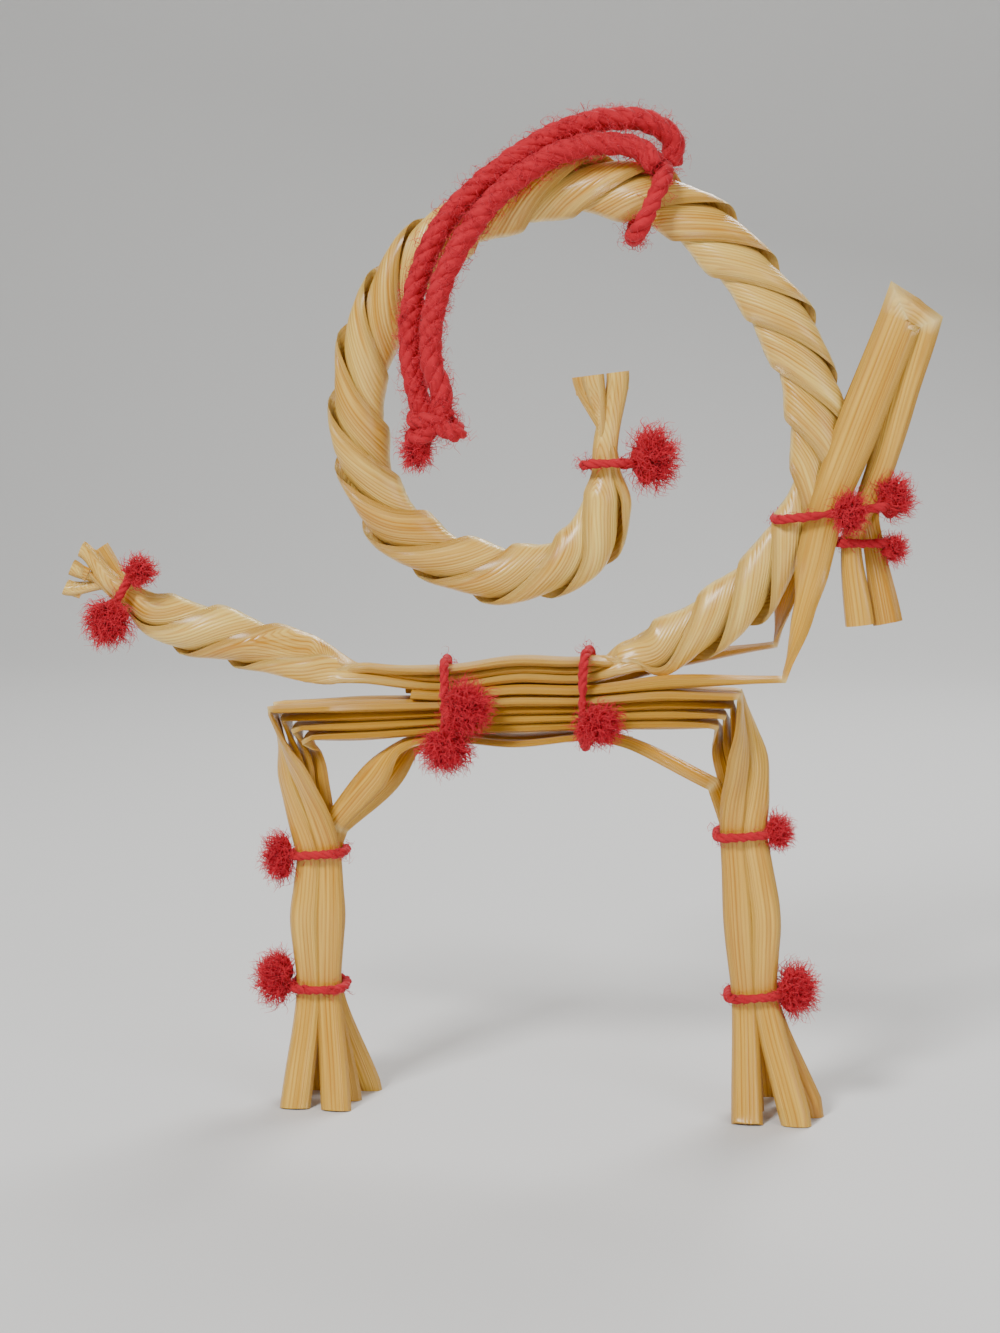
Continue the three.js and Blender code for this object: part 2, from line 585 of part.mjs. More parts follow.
LEG_STRAWS.forEach((straw, i) => addStraw(`leg_straw_${i + 1}`, legStraw(straw)));
addStraw('brace_straw_long', longBrace());
addStraw('brace_straw_short', shortBrace());
[0, 1, 2].forEach((i) => addStraw(`plait_straw_${i + 1}`, plaitStraw(i), PALE_STRAW_COLOR));
addStraw('tail_filler_straw', tailFiller(), PALE_STRAW_COLOR);
addStraw('neck_straw_near', neckStraw(NECK.near));
addStraw('neck_straw_far', neckStraw(NECK.far));
Object.entries(TIES).forEach(([name, geometry]) => addYarn(name, geometry));
addYarn('hanger_hitch', hangerHitch());
addYarn('hanger_strand_outer', hangerStrand(OUTER_STRAND));
addYarn('hanger_strand_inner', hangerStrand(INNER_STRAND));
addYarn('hanger_knot', hangerKnot());

export default group;
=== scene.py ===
"""A straw goat ornament: folded and plaited straw, red wool ties and a slack yarn loop.

Metres, +Z up. The goat looks along +X, its near side faces -Y, and it stands on its cut straw
ends at z = 0. Routes are written in millimetres from the part's drawing origin and moved by
MIDDLE into the frame. Every straw is one closed surface: a grid along and across the straw,
given a thickness, with hollow ends where it is cut.
"""

import bpy
import numpy as np
from bpy.props import FloatProperty, FloatVectorProperty, IntProperty
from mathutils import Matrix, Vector


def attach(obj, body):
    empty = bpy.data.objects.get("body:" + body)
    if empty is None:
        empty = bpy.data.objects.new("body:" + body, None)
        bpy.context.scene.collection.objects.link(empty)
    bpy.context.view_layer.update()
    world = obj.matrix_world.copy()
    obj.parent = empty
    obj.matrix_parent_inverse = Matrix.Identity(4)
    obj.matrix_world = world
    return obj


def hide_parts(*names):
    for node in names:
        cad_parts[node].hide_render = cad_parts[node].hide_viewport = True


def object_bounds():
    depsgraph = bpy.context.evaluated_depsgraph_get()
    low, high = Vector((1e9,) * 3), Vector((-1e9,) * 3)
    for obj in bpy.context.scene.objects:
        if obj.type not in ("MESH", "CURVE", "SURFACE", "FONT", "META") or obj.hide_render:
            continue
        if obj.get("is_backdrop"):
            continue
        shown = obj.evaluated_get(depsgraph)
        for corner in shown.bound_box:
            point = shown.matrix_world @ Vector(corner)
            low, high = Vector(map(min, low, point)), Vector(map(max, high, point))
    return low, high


bl_info = {
    "name": "Straw Goat Ornament",
    "version": (1, 0, 0),
    "blender": (4, 5, 0),
    "location": "View3D > Sidebar > Straw Goat",
    "description": "Builds a straw goat with a plaited ring horn round its packed frame",
    "category": "Add Mesh",
}

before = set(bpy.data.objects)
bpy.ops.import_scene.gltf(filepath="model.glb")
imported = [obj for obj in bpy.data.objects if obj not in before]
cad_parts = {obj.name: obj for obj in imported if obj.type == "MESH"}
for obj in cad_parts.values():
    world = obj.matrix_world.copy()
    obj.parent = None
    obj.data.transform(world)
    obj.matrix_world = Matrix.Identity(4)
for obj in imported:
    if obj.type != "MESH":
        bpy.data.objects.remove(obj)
START_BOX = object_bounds()

# The middle of the goat in the drawing, in millimetres.
MIDDLE = np.array([0.81, -0.24, 0.0])
QUARTER = np.pi / 2
# Heights of the folds at the hip and shoulder, and places of the two belly ties along X.
HIP_LEVEL = 43.8
SHOULDER_LEVEL = 46.0
REAR_TIE = -3.9
FRONT_TIE = 11.9
# Spacing of the straws in a leg, through it and across it.
LAYER = 0.92
LANE = 1.42
# The direction away from the near side.
AWAY = np.array([0.0, 1.0, 0.0])


# ------------------------------------------------------------------ routes
def unit(v):
    """Each vector divided by its own length."""
    return v / np.maximum(np.linalg.norm(v, axis=-1, keepdims=True), 1e-12)


def eased(values, mark):
    """A table with one value per mark, read at fractional marks and eased between them."""
    values = np.asarray(values, float)
    k = np.clip(mark.astype(int), 0, len(values) - 2)
    f = mark - k
    f = f * f * (3 - 2 * f)
    if values.ndim > 1:
        f = f[:, None]
    return values[k] + (values[k + 1] - values[k]) * f


def through_points(points, places):
    """The centripetal Catmull-Rom curve through points, read at fractional indices."""
    p = np.asarray(points, float)
    if len(p) == 2:
        return p[0] + (p[1] - p[0]) * places[:, None]
    p = np.vstack([2 * p[0] - p[1], p, 2 * p[-1] - p[-2]])
    k = np.clip(places.astype(int), 0, len(points) - 2)
    w = (places - k)[:, None]
    a, b, c, d = p[k], p[k + 1], p[k + 2], p[k + 3]
    t0, t1, t2 = (np.sqrt(np.linalg.norm(y - x, axis=1, keepdims=True))
                  for x, y in ((a, b), (b, c), (c, d)))
    m1 = ((b - a) / t0 - (c - a) / (t0 + t1) + (c - b) / t1) * t1
    m2 = ((c - b) / t1 - (d - b) / (t1 + t2) + (d - c) / t2) * t1
    return b + m1 * w + (3 * (c - b) - 2 * m1 - m2) * w**2 + (2 * (b - c) + m1 + m2) * w**3


class Route:
    """A line through marks (x, y, z, fold?): smooth between folds and sharp at them.

    At each station it knows the point, the fractional mark, the distance run, and a frame of
    along (the direction of travel), depth (away from the near side) and side. A fold's frame
    stands in its mitre plane.
    """

    def __init__(self, marks, step):
        folds = [i for i, m in enumerate(marks) if len(m) > 3]
        points = [m[:3] for m in marks]
        places, line = [np.zeros(1)], [np.asarray(points[:1], float)]
        first = 0
        for last in [*folds, len(marks) - 1]:
            part = np.asarray(points[first:last + 1], float)
            for span in range(last - first):
                count = max(1, round(np.linalg.norm(part[span + 1] - part[span]) / step))
                at = span + np.arange(1, count + 1) / count
                places.append(first + at)
                line.append(through_points(part, np.minimum(at, last - first - 1e-9)))
            first = last
        self.mark = np.concatenate(places)
        self.point = np.vstack(line)
        self.folds = np.isin(np.round(self.mark, 6), folds)
        self.measure()

    def measure(self):
        """Distances and frames, from the points."""
        run = np.diff(self.point, axis=0)
        self.distance = np.concatenate([[0], np.cumsum(np.linalg.norm(run, axis=1))])
        run = unit(run)
        before, after = np.vstack([run[:1], run]), np.vstack([run, run[-1:]])
        self.along = unit(before + after)
        self.mitre = 1 / np.maximum(0.5, (before * self.along).sum(1))
        lean = (AWAY * self.along).sum(1, keepdims=True)
        self.depth = unit(AWAY - lean * self.along)
        self.side = np.cross(self.along, self.depth)

    def refined(self, step):
        """The same line with stations a step apart, its folds kept."""
        marks = [(*p, "fold") if f else tuple(p) for p, f in zip(self.point, self.folds)]
        fine = Route(marks, step)
        fine.mark = np.interp(fine.mark, np.arange(len(self.mark)), self.mark)
        return fine

    def shifted(self, across, through, turn):
        """A line beside this one, across and through the bundle, which is turned about it."""
        side = across * np.cos(turn) - through * np.sin(turn)
        depth = across * np.sin(turn) + through * np.cos(turn)
        copy = object.__new__(Route)
        copy.mark, copy.folds = self.mark, self.folds
        copy.point = self.point + self.side * (side * self.mitre)[:, None] + self.depth * depth[:, None]
        copy.measure()
        return copy

    def at(self, mark):
        """The index of the station nearest a mark."""
        return int(np.argmin(np.abs(self.mark - mark)))


def carried_frames(point, closed=False, start=AWAY):
    """Two crosswise directions at each point of a line, carried along it without twisting."""
    ahead = np.roll(point, -1, 0) - np.roll(point, 1, 0)
    if not closed:
        ahead[0], ahead[-1] = point[1] - point[0], point[-1] - point[-2]
    along = unit(ahead)
    first = unit(start - (start * along[0]).sum() * along[0])
    normals = [first]
    for direction in along[1:]:
        last = normals[-1]
        normals.append(unit(last - (last * direction).sum() * direction))
    normal = np.array(normals)
    if closed:
        back = unit(normal[-1] - (normal[-1] * along[0]).sum() * along[0])
        slip = np.arctan2((np.cross(first, back) * along[0]).sum(), (first * back).sum())
        turn = (-slip * np.arange(len(point)) / len(point))[:, None]
        normal = normal * np.cos(turn) + np.cross(along, normal) * np.sin(turn)
    return along, normal, np.cross(along, normal)


# ------------------------------------------------------------------ meshes
def new_object(name, verts, faces, material, uv=None, values=None, sharp=0.7):
    """A mesh object in the frame's metres, from points in drawing millimetres.

    faces is a list of integer arrays, one array for each number of corners. values are float
    attributes with one value for each point.
    """
    mesh = bpy.data.meshes.new(name)
    verts = (np.asarray(verts, float) - MIDDLE) * 0.001
    sizes = np.concatenate([np.full(len(f), f.shape[1]) for f in faces])
    corners = np.concatenate([f.ravel() for f in faces])
    mesh.vertices.add(len(verts))
    mesh.vertices.foreach_set("co", verts.ravel())
    mesh.loops.add(len(corners))
    mesh.loops.foreach_set("vertex_index", corners)
    mesh.polygons.add(len(sizes))
    mesh.polygons.foreach_set("loop_start", np.concatenate([[0], np.cumsum(sizes)[:-1]]))
    if uv is not None:
        layer = mesh.uv_layers.new(name="straw")
        layer.data.foreach_set("uv", np.asarray(uv, float)[corners].ravel())
    for key, value in (values or {}).items():
        layer = mesh.attributes.new(key, "FLOAT", "POINT")
        layer.data.foreach_set("value", np.array(np.broadcast_to(value, len(verts)), float))
    mesh.update(calc_edges=True)
    mesh.validate()
    mesh.shade_smooth()
    if sharp:
        mesh.set_sharp_from_angle(angle=sharp)
    mesh.materials.append(material)
    obj = bpy.data.objects.new(name, mesh)
    bpy.context.scene.collection.objects.link(obj)
    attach(obj, "root")
    return obj


def ring_faces(rings, around, closed=False):
    """Four-sided faces between rings of equal size, numbered ring after ring."""
    i = np.arange(rings if closed else rings - 1)[:, None]
    j = np.arange(around)[None, :]
    ahead, beside = (i + 1) % rings, (j + 1) % around
    corners = [i * around + j, i * around + beside, ahead * around + beside, ahead * around + j]
    return np.stack(corners, -1).reshape(-1, 4)


def facing_out(verts, faces):
    """The faces turned round if the body they close has a negative volume."""
    total = 0.0
    for f in faces:
        for k in range(1, f.shape[1] - 1):
            a, b, c = verts[f[:, 0]], verts[f[:, k]], verts[f[:, k + 1]]
            total += (a * np.cross(b, c)).sum()
    return faces if total > 0 else [f[:, ::-1] for f in faces]


def straw_body(grid, thickness, cut=(True, True), ridges=0.03, wall=0.16, pocket=2.0):
    """A flattened straw: the grid (stations by places across) given a lens-shaped thickness.

    Both faces lie half the thickness from the grid, which they meet at its two edges, with a
    few shallow ridges along them. A cut end is a thin rim round a pocket. Returns points,
    faces, and for each point its place across and along in millimetres.
    """
    n, m, _ = grid.shape
    u = np.linspace(-1, 1, m)
    lens = (1 - u**4) ** 0.6
    normal = unit(np.cross(np.gradient(grid, axis=0), np.gradient(grid, axis=1)))
    half = 0.5 * np.asarray(thickness)[:, None] * lens + ridges * lens * np.cos(3 * np.pi * u + 0.7)
    over = grid + normal * half[..., None]
    under = (grid - normal * half[..., None])[:, -2:0:-1]
    rings = np.concatenate([over, under], 1)
    around = rings.shape[1]
    width = np.linalg.norm(np.diff(grid, axis=1), axis=2).sum(1)
    steps = np.linalg.norm(np.diff(grid[:, m // 2], axis=0), axis=1)
    run = np.concatenate([[0], np.cumsum(steps)])
    place = np.concatenate([u, u[-2:0:-1]])
    uv = np.stack(np.broadcast_arrays(place[None] * width[:, None] / 2, run[:, None]), -1)
    blocks, uvs = [rings.reshape(-1, 3)], [uv.reshape(-1, 2)]
    quads, fans = [ring_faces(n, around)], []
    count = n * around
    for end, is_cut in zip((0, n - 1), cut):
        inward = unit(grid[1 if end == 0 else n - 2, m // 2] - grid[end, m // 2])
        rows = [np.arange(end * around, (end + 1) * around)]
        last_ring = rings[end]
        if is_cut:
            middle = grid[end, m // 2]
            centre = middle + (grid[end] - middle) * (1 - 2 * wall / width[end])
            thin = np.maximum(half[end] - wall, 0.03 * lens)[:, None]
            rim = np.concatenate([centre + normal[end] * thin, (centre - normal[end] * thin)[-2:0:-1]])
            for depth in (0.0, pocket):
                last_ring = rim + inward * depth
                blocks.append(last_ring)
                uvs.append(uv[end] + [0, depth])
                rows.append(np.arange(count, count + around))
                count += around
        for a, b in zip(rows, rows[1:]):
            strip = np.stack([a, np.roll(a, -1), np.roll(b, -1), b], 1)
            quads.append(strip if end else strip[:, ::-1])
        blocks.append(last_ring.mean(0)[None])
        uvs.append(np.zeros((1, 2)))
        fan = np.stack([rows[-1], np.roll(rows[-1], -1), np.full(around, count)], 1)
        count += 1
        fans.append(fan if end else fan[:, ::-1])
    verts = np.vstack(blocks)
    verts[:, 2] = np.maximum(verts[:, 2], 0.0)
    return verts, [np.vstack(quads), np.vstack(fans)], np.vstack(uvs)


def straw_object(name, material, route, grid, thickness, tone, fold=None, **shape):
    """One straw as an object that stands for the CAD node of its name.

    Its tone is how pale it is, less along both edges, where painted shade darkens it as it
    meets its neighbours, and its crease is 1 along a fold and fades beside it. Both may change
    over the grid.
    """
    verts, faces, uv = straw_body(grid, thickness, **shape)
    u = np.linspace(-1, 1, grid.shape[1])
    crease = np.zeros(grid.shape[:2]) if fold is None else fold
    # Along the route's folds the crease carries a painted highlight.
    if route.folds.any():
        gap = np.abs(route.distance[:, None] - route.distance[route.folds][None]).min(1)
        crease = np.maximum(crease, np.exp(-(gap / 0.4) ** 2)[:, None])
    # Painted shade: every straw is darker along both its edges, where it meets its neighbours.
    tone = np.broadcast_to(tone, grid.shape[:2]) - 0.35 * np.abs(u) ** 7

    def both_faces(values, rest):
        """Values of the grid for each point of the body, with one value for its cut ends."""
        ring = np.concatenate([values, values[:, -2:0:-1]], 1).ravel()
        return np.concatenate([ring, np.full(len(verts) - len(ring), rest)])

    values = {"tone": both_faces(tone, 0.1), "crease": both_faces(crease, 0.0)}
    obj = new_object(name, verts, facing_out(verts, faces), material, uv * 0.001, values, sharp=0.6)
    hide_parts(name)
    return obj


def flat_grid(route, width, angle, arch=0.0, places=11):
    """A flat strip along a route: places across it in its frame turned by an angle, and arched."""
    u = np.linspace(-1, 1, places)[None, :, None]
    cos, sin = np.cos(angle)[:, None], np.sin(angle)[:, None]
    side = route.side * route.mitre[:, None]
    wide, thick = side * cos + route.depth * sin, route.depth * cos - side * sin
    return (route.point[:, None] + wide[:, None] * (width / 2)[:, None, None] * u
            + thick[:, None] * arch * u**2)


# ------------------------------------------------------------------ yarn and fibres
def tube(point, radius, sides=7, closed=False, start=AWAY):
    """A round tube along a line of points: points and faces, its ends closed by fans."""
    along, normal, other = carried_frames(point, closed, start)
    angle = (np.arange(sides) / sides * 2 * np.pi)[None, :, None]
    spokes = normal[:, None] * np.cos(angle) + other[:, None] * np.sin(angle)
    radius = np.array(np.broadcast_to(radius, len(point)))
    verts = (point[:, None] + spokes * radius[:, None, None]).reshape(-1, 3)
    faces = [ring_faces(len(point), sides, closed)]
    if not closed:
        count = len(verts)
        tips = [point[0] - along[0] * radius[0] * 0.5, point[-1] + along[-1] * radius[-1] * 0.5]
        verts = np.vstack([verts, tips])
        j = np.arange(sides)
        first = np.stack([(j + 1) % sides, j, np.full(sides, count)], 1)
        end = count - sides
        last = np.stack([end + j, end + (j + 1) % sides, np.full(sides, count + 1)], 1)
        faces.append(np.vstack([first, last]))
    return verts, facing_out(verts, faces)


def plied(point, radius, plies, pitch, closed=False, sides=8, start=AWAY, seed=1):
    """Yarn: plies wound round each other along a line, each a tube that swells a little."""
    rng = np.random.default_rng(seed)
    _, normal, other = carried_frames(point, closed, start)
    step = np.linalg.norm(np.roll(point, -1, 0) - point, axis=1)
    run = np.concatenate([[0], np.cumsum(step)[:-1]])
    total = step.sum() if closed else run[-1]
    turns = round(total / pitch) if closed else total / pitch
    ply = radius * 0.54
    parts = []
    for k in range(plies):
        angle = (2 * np.pi * (turns * run / total + k / plies))[:, None]
        reach = (radius - ply) * (1 + 0.08 * np.sin(run * 0.9 + rng.uniform(0, 6)))[:, None]
        line = point + (normal * np.cos(angle) + other * np.sin(angle)) * reach
        parts.append(tube(line, ply * (1 + 0.06 * np.sin(run * 2.3 + k)), sides, closed, start))
    return parts


def joined(parts):
    """Several bodies as one list of points and one list of faces by corner count."""
    verts, by_size, count = [], {}, 0
    for points, faces in parts:
        verts.append(points)
        for f in faces:
            by_size.setdefault(f.shape[1], []).append(f + count)
        count += len(points)
    return np.vstack(verts), [np.vstack(f) for f in by_size.values()]


def fibres(root, reach, rng, radius=0.05, curl=0.35, segments=5, swing=2.2):
    """Wool fibres from root points over reach vectors: thin three-sided tubes that curl and taper.

    Each runs straight from its root along its reach, plus a swaying crosswise wave that grows
    from nothing at the root. Returns points, faces and how near its tip each point is.
    """
    count = len(root)
    t = np.linspace(0, 1, segments + 1)
    along = unit(reach)
    one = unit(np.cross(along, rng.normal(size=(count, 3))))
    two = np.cross(along, one)
    length = np.linalg.norm(reach, axis=1)[:, None]
    line = root[:, None] + reach[:, None] * t[None, :, None]
    for crosswise in (one, two):
        phase = rng.uniform(0, 2 * np.pi, (count, 1))
        speed = rng.uniform(1.2, 2.8, (count, 1)) * swing
        sway = (np.sin(speed * t + phase) - np.sin(phase)) * curl * length * 0.5
        line = line + crosswise[:, None] * sway[..., None]
    size = radius * rng.uniform(0.7, 1.2, (count, 1)) * (1 - 0.75 * t**2)[None]
    angle = (np.arange(3) / 3 * 2 * np.pi)[None, None, :, None]
    spokes = one[:, None, None] * np.cos(angle) + two[:, None, None] * np.sin(angle)
    verts = (line[:, :, None] + spokes * size[:, :, None, None]).reshape(-1, 3)
    last = segments * 3
    ends = np.array([[0, 2, 1], [last, last + 1, last + 2]])
    base = (np.arange(count) * (segments + 1) * 3)[:, None, None]
    quads = (ring_faces(segments + 1, 3)[None] + base).reshape(-1, 4)
    caps = (ends[None] + base).reshape(-1, 3)
    return (verts, facing_out(verts, [quads, caps])), np.tile(np.repeat(t, 3), count)


def lumpy_ball(centre, size, seed, rings=14, around=20, rough=0.12):
    """A closed ball with soft lumps: its radius follows a few crossed waves."""
    rng = np.random.default_rng(seed)
    a = (np.arange(1, rings) / rings * np.pi)[:, None]
    b = (np.arange(around) / around * 2 * np.pi)[None]
    d = [np.sin(a) * np.cos(b), np.sin(a) * np.sin(b), np.cos(a)]
    d = np.stack(np.broadcast_arrays(*d), -1).reshape(-1, 3)
    d = np.vstack([d, [[0, 0, 1], [0, 0, -1]]])
    waves = np.sin(d @ rng.uniform(2.5, 6, (4, 3)).T + rng.uniform(0, 6, 4)).mean(1)
    verts = np.asarray(centre) + d * (1 + rough * 2 * waves)[:, None] * np.asarray(size)
    j = np.arange(around)
    beside = (j + 1) % around
    top = (rings - 1) * around
    low = (rings - 2) * around
    caps = np.vstack([np.stack([beside, j, np.full(around, top)], 1),
                      np.stack([low + j, low + beside, np.full(around, top + 1)], 1)])
    return verts, facing_out(verts, [ring_faces(rings - 1, around), caps])


def wool_object(name, parts, tips, material, node=None):
    """One piece of yarn: smooth bodies and fibres in one mesh, with a tip value for fibre ends."""
    verts, faces = joined(parts)
    tip = np.concatenate([np.broadcast_to(t, len(p[0])) for t, p in zip(tips, parts)])
    obj = new_object(name, verts, faces, material, values={"tip": tip}, sharp=None)
    if node:
        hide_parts(node)
    return obj


# ------------------------------------------------------------------ materials
class Tree:
    """A node tree with short ways to add and link its nodes."""

    def __init__(self, tree):
        self.nodes, self.link = tree.nodes, tree.links.new

    def set(self, socket, value):
        """Link an output to a socket, or set the socket's own value."""
        if isinstance(value, bpy.types.NodeSocket):
            self.link(value, socket)
        else:
            socket.default_value = value

    def math(self, operation, *values, clamp=False):
        """The result of a Math node."""
        node = self.nodes.new("ShaderNodeMath")
        node.operation, node.use_clamp = operation, clamp
        for socket, value in zip(node.inputs, values):
            self.set(socket, value)
        return node.outputs[0]

    def noise(self, vector, scale=1.0, detail=2.0):
        """Soft noise over a vector."""
        node = self.nodes.new("ShaderNodeTexNoise")
        self.set(node.inputs["Scale"], scale)
        self.set(node.inputs["Detail"], detail)
        self.link(vector, node.inputs["Vector"])
        return node.outputs["Fac"]

    def attribute(self, name):
        """A value that the mesh carries."""
        node = self.nodes.new("ShaderNodeAttribute")
        node.attribute_name = name
        return node.outputs["Fac"]

    def mix(self, factor, a, b):
        """The colour between a and b."""
        node = self.nodes.new("ShaderNodeMix")
        node.data_type = "RGBA"
        for socket, value in zip((node.inputs["Factor"], node.inputs[6], node.inputs[7]), (factor, a, b)):
            self.set(socket, value)
        return node.outputs[2]


def straw_lines():
    """The node group for straw: colour, height and gloss in fine lines that run along it; folds get a painted
    highlight.
    """
    group = bpy.data.node_groups.new("straw_lines", "ShaderNodeTree")
    for name in ("Pale", "Amber"):
        group.interface.new_socket(name, in_out="INPUT", socket_type="NodeSocketColor")
    group.interface.new_socket("Color", in_out="OUTPUT", socket_type="NodeSocketColor")
    for name in ("Height", "Rough"):
        group.interface.new_socket(name, in_out="OUTPUT", socket_type="NodeSocketFloat")
    tree = Tree(group)
    entry, leave = tree.nodes.new("NodeGroupInput"), tree.nodes.new("NodeGroupOutput")
    uv = tree.nodes.new("ShaderNodeUVMap")
    uv.uv_map = "straw"
    tone = tree.attribute("tone")
    place = tree.nodes.new("ShaderNodeCombineXYZ")
    tree.set(place.inputs["X"], tree.math("MULTIPLY", tone, 37.0))

    def stretched(across, along):
        """Places on the straw, scaled across and along it, and shifted by its tone."""
        node = tree.nodes.new("ShaderNodeMapping")
        tree.set(node.inputs["Scale"], (across, along, 1))
        tree.link(place.outputs[0], node.inputs["Location"])
        tree.link(uv.outputs["UV"], node.inputs["Vector"])
        return node.outputs[0]

    fine = tree.noise(stretched(3200, 45), detail=3.0)
    broad = tree.noise(stretched(900, 22))
    patch = tree.noise(stretched(160, 60))
    wave = tree.nodes.new("ShaderNodeTexWave")
    wave.bands_direction = "X"
    for name, value in (("Scale", 1.0), ("Distortion", 0.6), ("Detail", 2.0), ("Detail Scale", 0.6)):
        wave.inputs[name].default_value = value
    tree.link(stretched(760, 12), wave.inputs["Vector"])
    rib = wave.outputs["Fac"]
    light = tree.math("MULTIPLY_ADD", fine, 1.0, tree.math("MULTIPLY", broad, 0.75))
    light = tree.math("ADD", light, tree.math("MULTIPLY_ADD", patch, 0.7, -0.9))
    light = tree.math("MULTIPLY_ADD", tree.math("POWER", rib, 3.0), -0.35, light)
    light = tree.math("ADD", light, tree.math("MULTIPLY_ADD", tone, 0.45, -0.1), clamp=True)
    colour = tree.mix(light, entry.outputs["Amber"], entry.outputs["Pale"])
    # Painted highlight: along each fold the colour is mixed towards pale gold, where the straw turns into the
    # light.
    fold_highlight = tree.math("MULTIPLY", tree.attribute("crease"), 0.55)
    tree.link(tree.mix(fold_highlight, colour, (0.98, 0.80, 0.34, 1)), leave.inputs["Color"])
    height = tree.math("MULTIPLY_ADD", rib, -0.55, tree.math("MULTIPLY", fine, 0.8))
    tree.link(height, leave.inputs["Height"])
    tree.link(tree.math("MULTIPLY_ADD", broad, 0.25, 0.2), leave.inputs["Rough"])
    return group


def shader_of(name):
    """A new material's tree and its shader."""
    material = bpy.data.materials.new(name)
    material.use_nodes = True
    return material, Tree(material.node_tree), material.node_tree.nodes["Principled BSDF"]


def add_bump(tree, shader, height, strength, distance):
    """Fine relief from a height, in metres at its deepest."""
    bump = tree.nodes.new("ShaderNodeBump")
    bump.inputs["Strength"].default_value = strength
    bump.inputs["Distance"].default_value = distance
    tree.link(height, bump.inputs["Height"])
    tree.link(bump.outputs[0], shader.inputs["Normal"])


def straw_material(name, group, pale, amber):
    """Glossy dried straw whose lines follow the straw."""
    material, tree, shader = shader_of(name)
    lines = tree.nodes.new("ShaderNodeGroup")
    lines.node_tree = group
    lines.inputs["Pale"].default_value = (*pale, 1)
    lines.inputs["Amber"].default_value = (*amber, 1)
    add_bump(tree, shader, lines.outputs["Height"], 0.55, 0.00012)
    tree.link(lines.outputs["Color"], shader.inputs["Base Color"])
    tree.link(lines.outputs["Rough"], shader.inputs["Roughness"])
    shader.inputs["Coat Weight"].default_value = 0.35
    shader.inputs["Coat Roughness"].default_value = 0.22
    shader.inputs["Subsurface Weight"].default_value = 0.12
    shader.inputs["Subsurface Scale"].default_value = 0.0006
    shader.inputs["Subsurface Radius"].default_value = (1.0, 0.6, 0.25)
    return material


def wool_material(name, deep, bright):
    """Red wool: deep between the fibres, lighter at their tips, with a soft sheen."""
    material, tree, shader = shader_of(name)
    where = tree.nodes.new("ShaderNodeTexCoord")
    noise = tree.noise(where.outputs["Object"], 1400.0)
    light = tree.math("MULTIPLY_ADD", noise, 0.5, tree.attribute("tip"), clamp=True)
    tree.link(tree.mix(light, (*deep, 1), (*bright, 1)), shader.inputs["Base Color"])
    add_bump(tree, shader, noise, 0.6, 0.00015)
    shader.inputs["Roughness"].default_value = 0.85
    shader.inputs["Sheen Weight"].default_value = 0.15
    shader.inputs["Sheen Roughness"].default_value = 0.4
    shader.inputs["Sheen Tint"].default_value = (1.0, 0.45, 0.5, 1)
    return material


# ------------------------------------------------------------------ legs and body
LEG_MARKS = [
    (-18.2, 0, 0), (-18.5, 0, 13.3), (-18.5, 0, 21.3), (-18.4, 0, 28.7), (-20.0, 0, 37.5),
    (-21.5, 0, HIP_LEVEL, "fold"), (-13.0, 0, 44.2), (REAR_TIE, 0, 44.8), (4.0, 0, 45.2),
    (FRONT_TIE, 0, 45.5), (20.0, 0, 46.0), (27.4, 0, SHOULDER_LEVEL, "fold"), (28.7, 0, 39.5),
    (29.3, 0, 32.1), (30.4, 0, 22.5), (30.8, 0, 13.8), (33.0, 0, 0),
]
LEG_TURN = np.array([0, 0, 0, 0, 0.5, 1, 1, 1, 1, 1, 1, 1, 0.5, 0, 0, 0, 0]) * QUARTER
LEG_LANE = [1.15, 0.79, 1, 0.79, 1.1, 1.15, 1.1, 1, 1.05, 1, 1.1, 1.15, 1.1, 0.79, 1.05, 0.79, 1.15]
LEG_LAYER = [1, 0.8, 1.15, 0.8, 1.15, 1.2, 1.2, 1, 1.12, 1, 1.2, 1.2, 1.15, 0.8, 1.15, 0.8, 1]
LEG_NARROW = [3.5, 2.9, 3.5, 2.9, 3.5, 3.6, 3.5, 3.2, 3.3, 3.2, 3.5, 3.6, 3.5, 2.9, 3.4, 2.9, 3.5]
LEG_OPEN = [3.5, 2.9, 3.5, 2.9, 3.9, 4.8, 5.0, 5.0, 5.0, 5.0, 5.0, 4.8, 3.9, 2.9, 3.4, 2.9, 3.5]
LEG_THICKNESS = [1.15, 0.7, 0.95, 0.7, 0.8, 0.6, 1.15, 1.0, 1.1, 1.0, 1.15, 0.6, 0.8, 0.7, 0.95, 0.7, 1.15]
LEG_OPENING = [0, 0, 0, 0, 0.3, 1, 1, 1, 1, 1, 1, 1, 0.3, 0, 0, 0, 0]
LEG_STRAWS = [
    dict(lane=-1, layer=1, opens=False, rear=(0.6, -3.6), front=(-1.2, -3.6), tone=0.55),
    dict(lane=1, layer=1, opens=False, rear=(-0.9, -3.4), front=(1.0, -3.4), tone=0.8),
    dict(lane=1, layer=2, opens=True, rear=(-1.4, -0.9), front=(2.6, -0.9), tone=0.35),
    dict(lane=1, layer=3, opens=True, rear=(0.2, 1.9), front=(1.1, 1.9), tone=0.6),
    dict(lane=0, layer=4, opens=True, rear=(0.6, 4.0), front=(-0.6, 4.0), tone=0.45),
]


def layer_place(layer):
    """How far through a leg a layer lies, from the middle of its four."""
    return (layer - 2.5) * LAYER


def on_ground(grid, ends):
    """The grid with its named ends level at z = 0."""
    for end in ends:
        grid[end, :, 2] = 0.0
    return grid


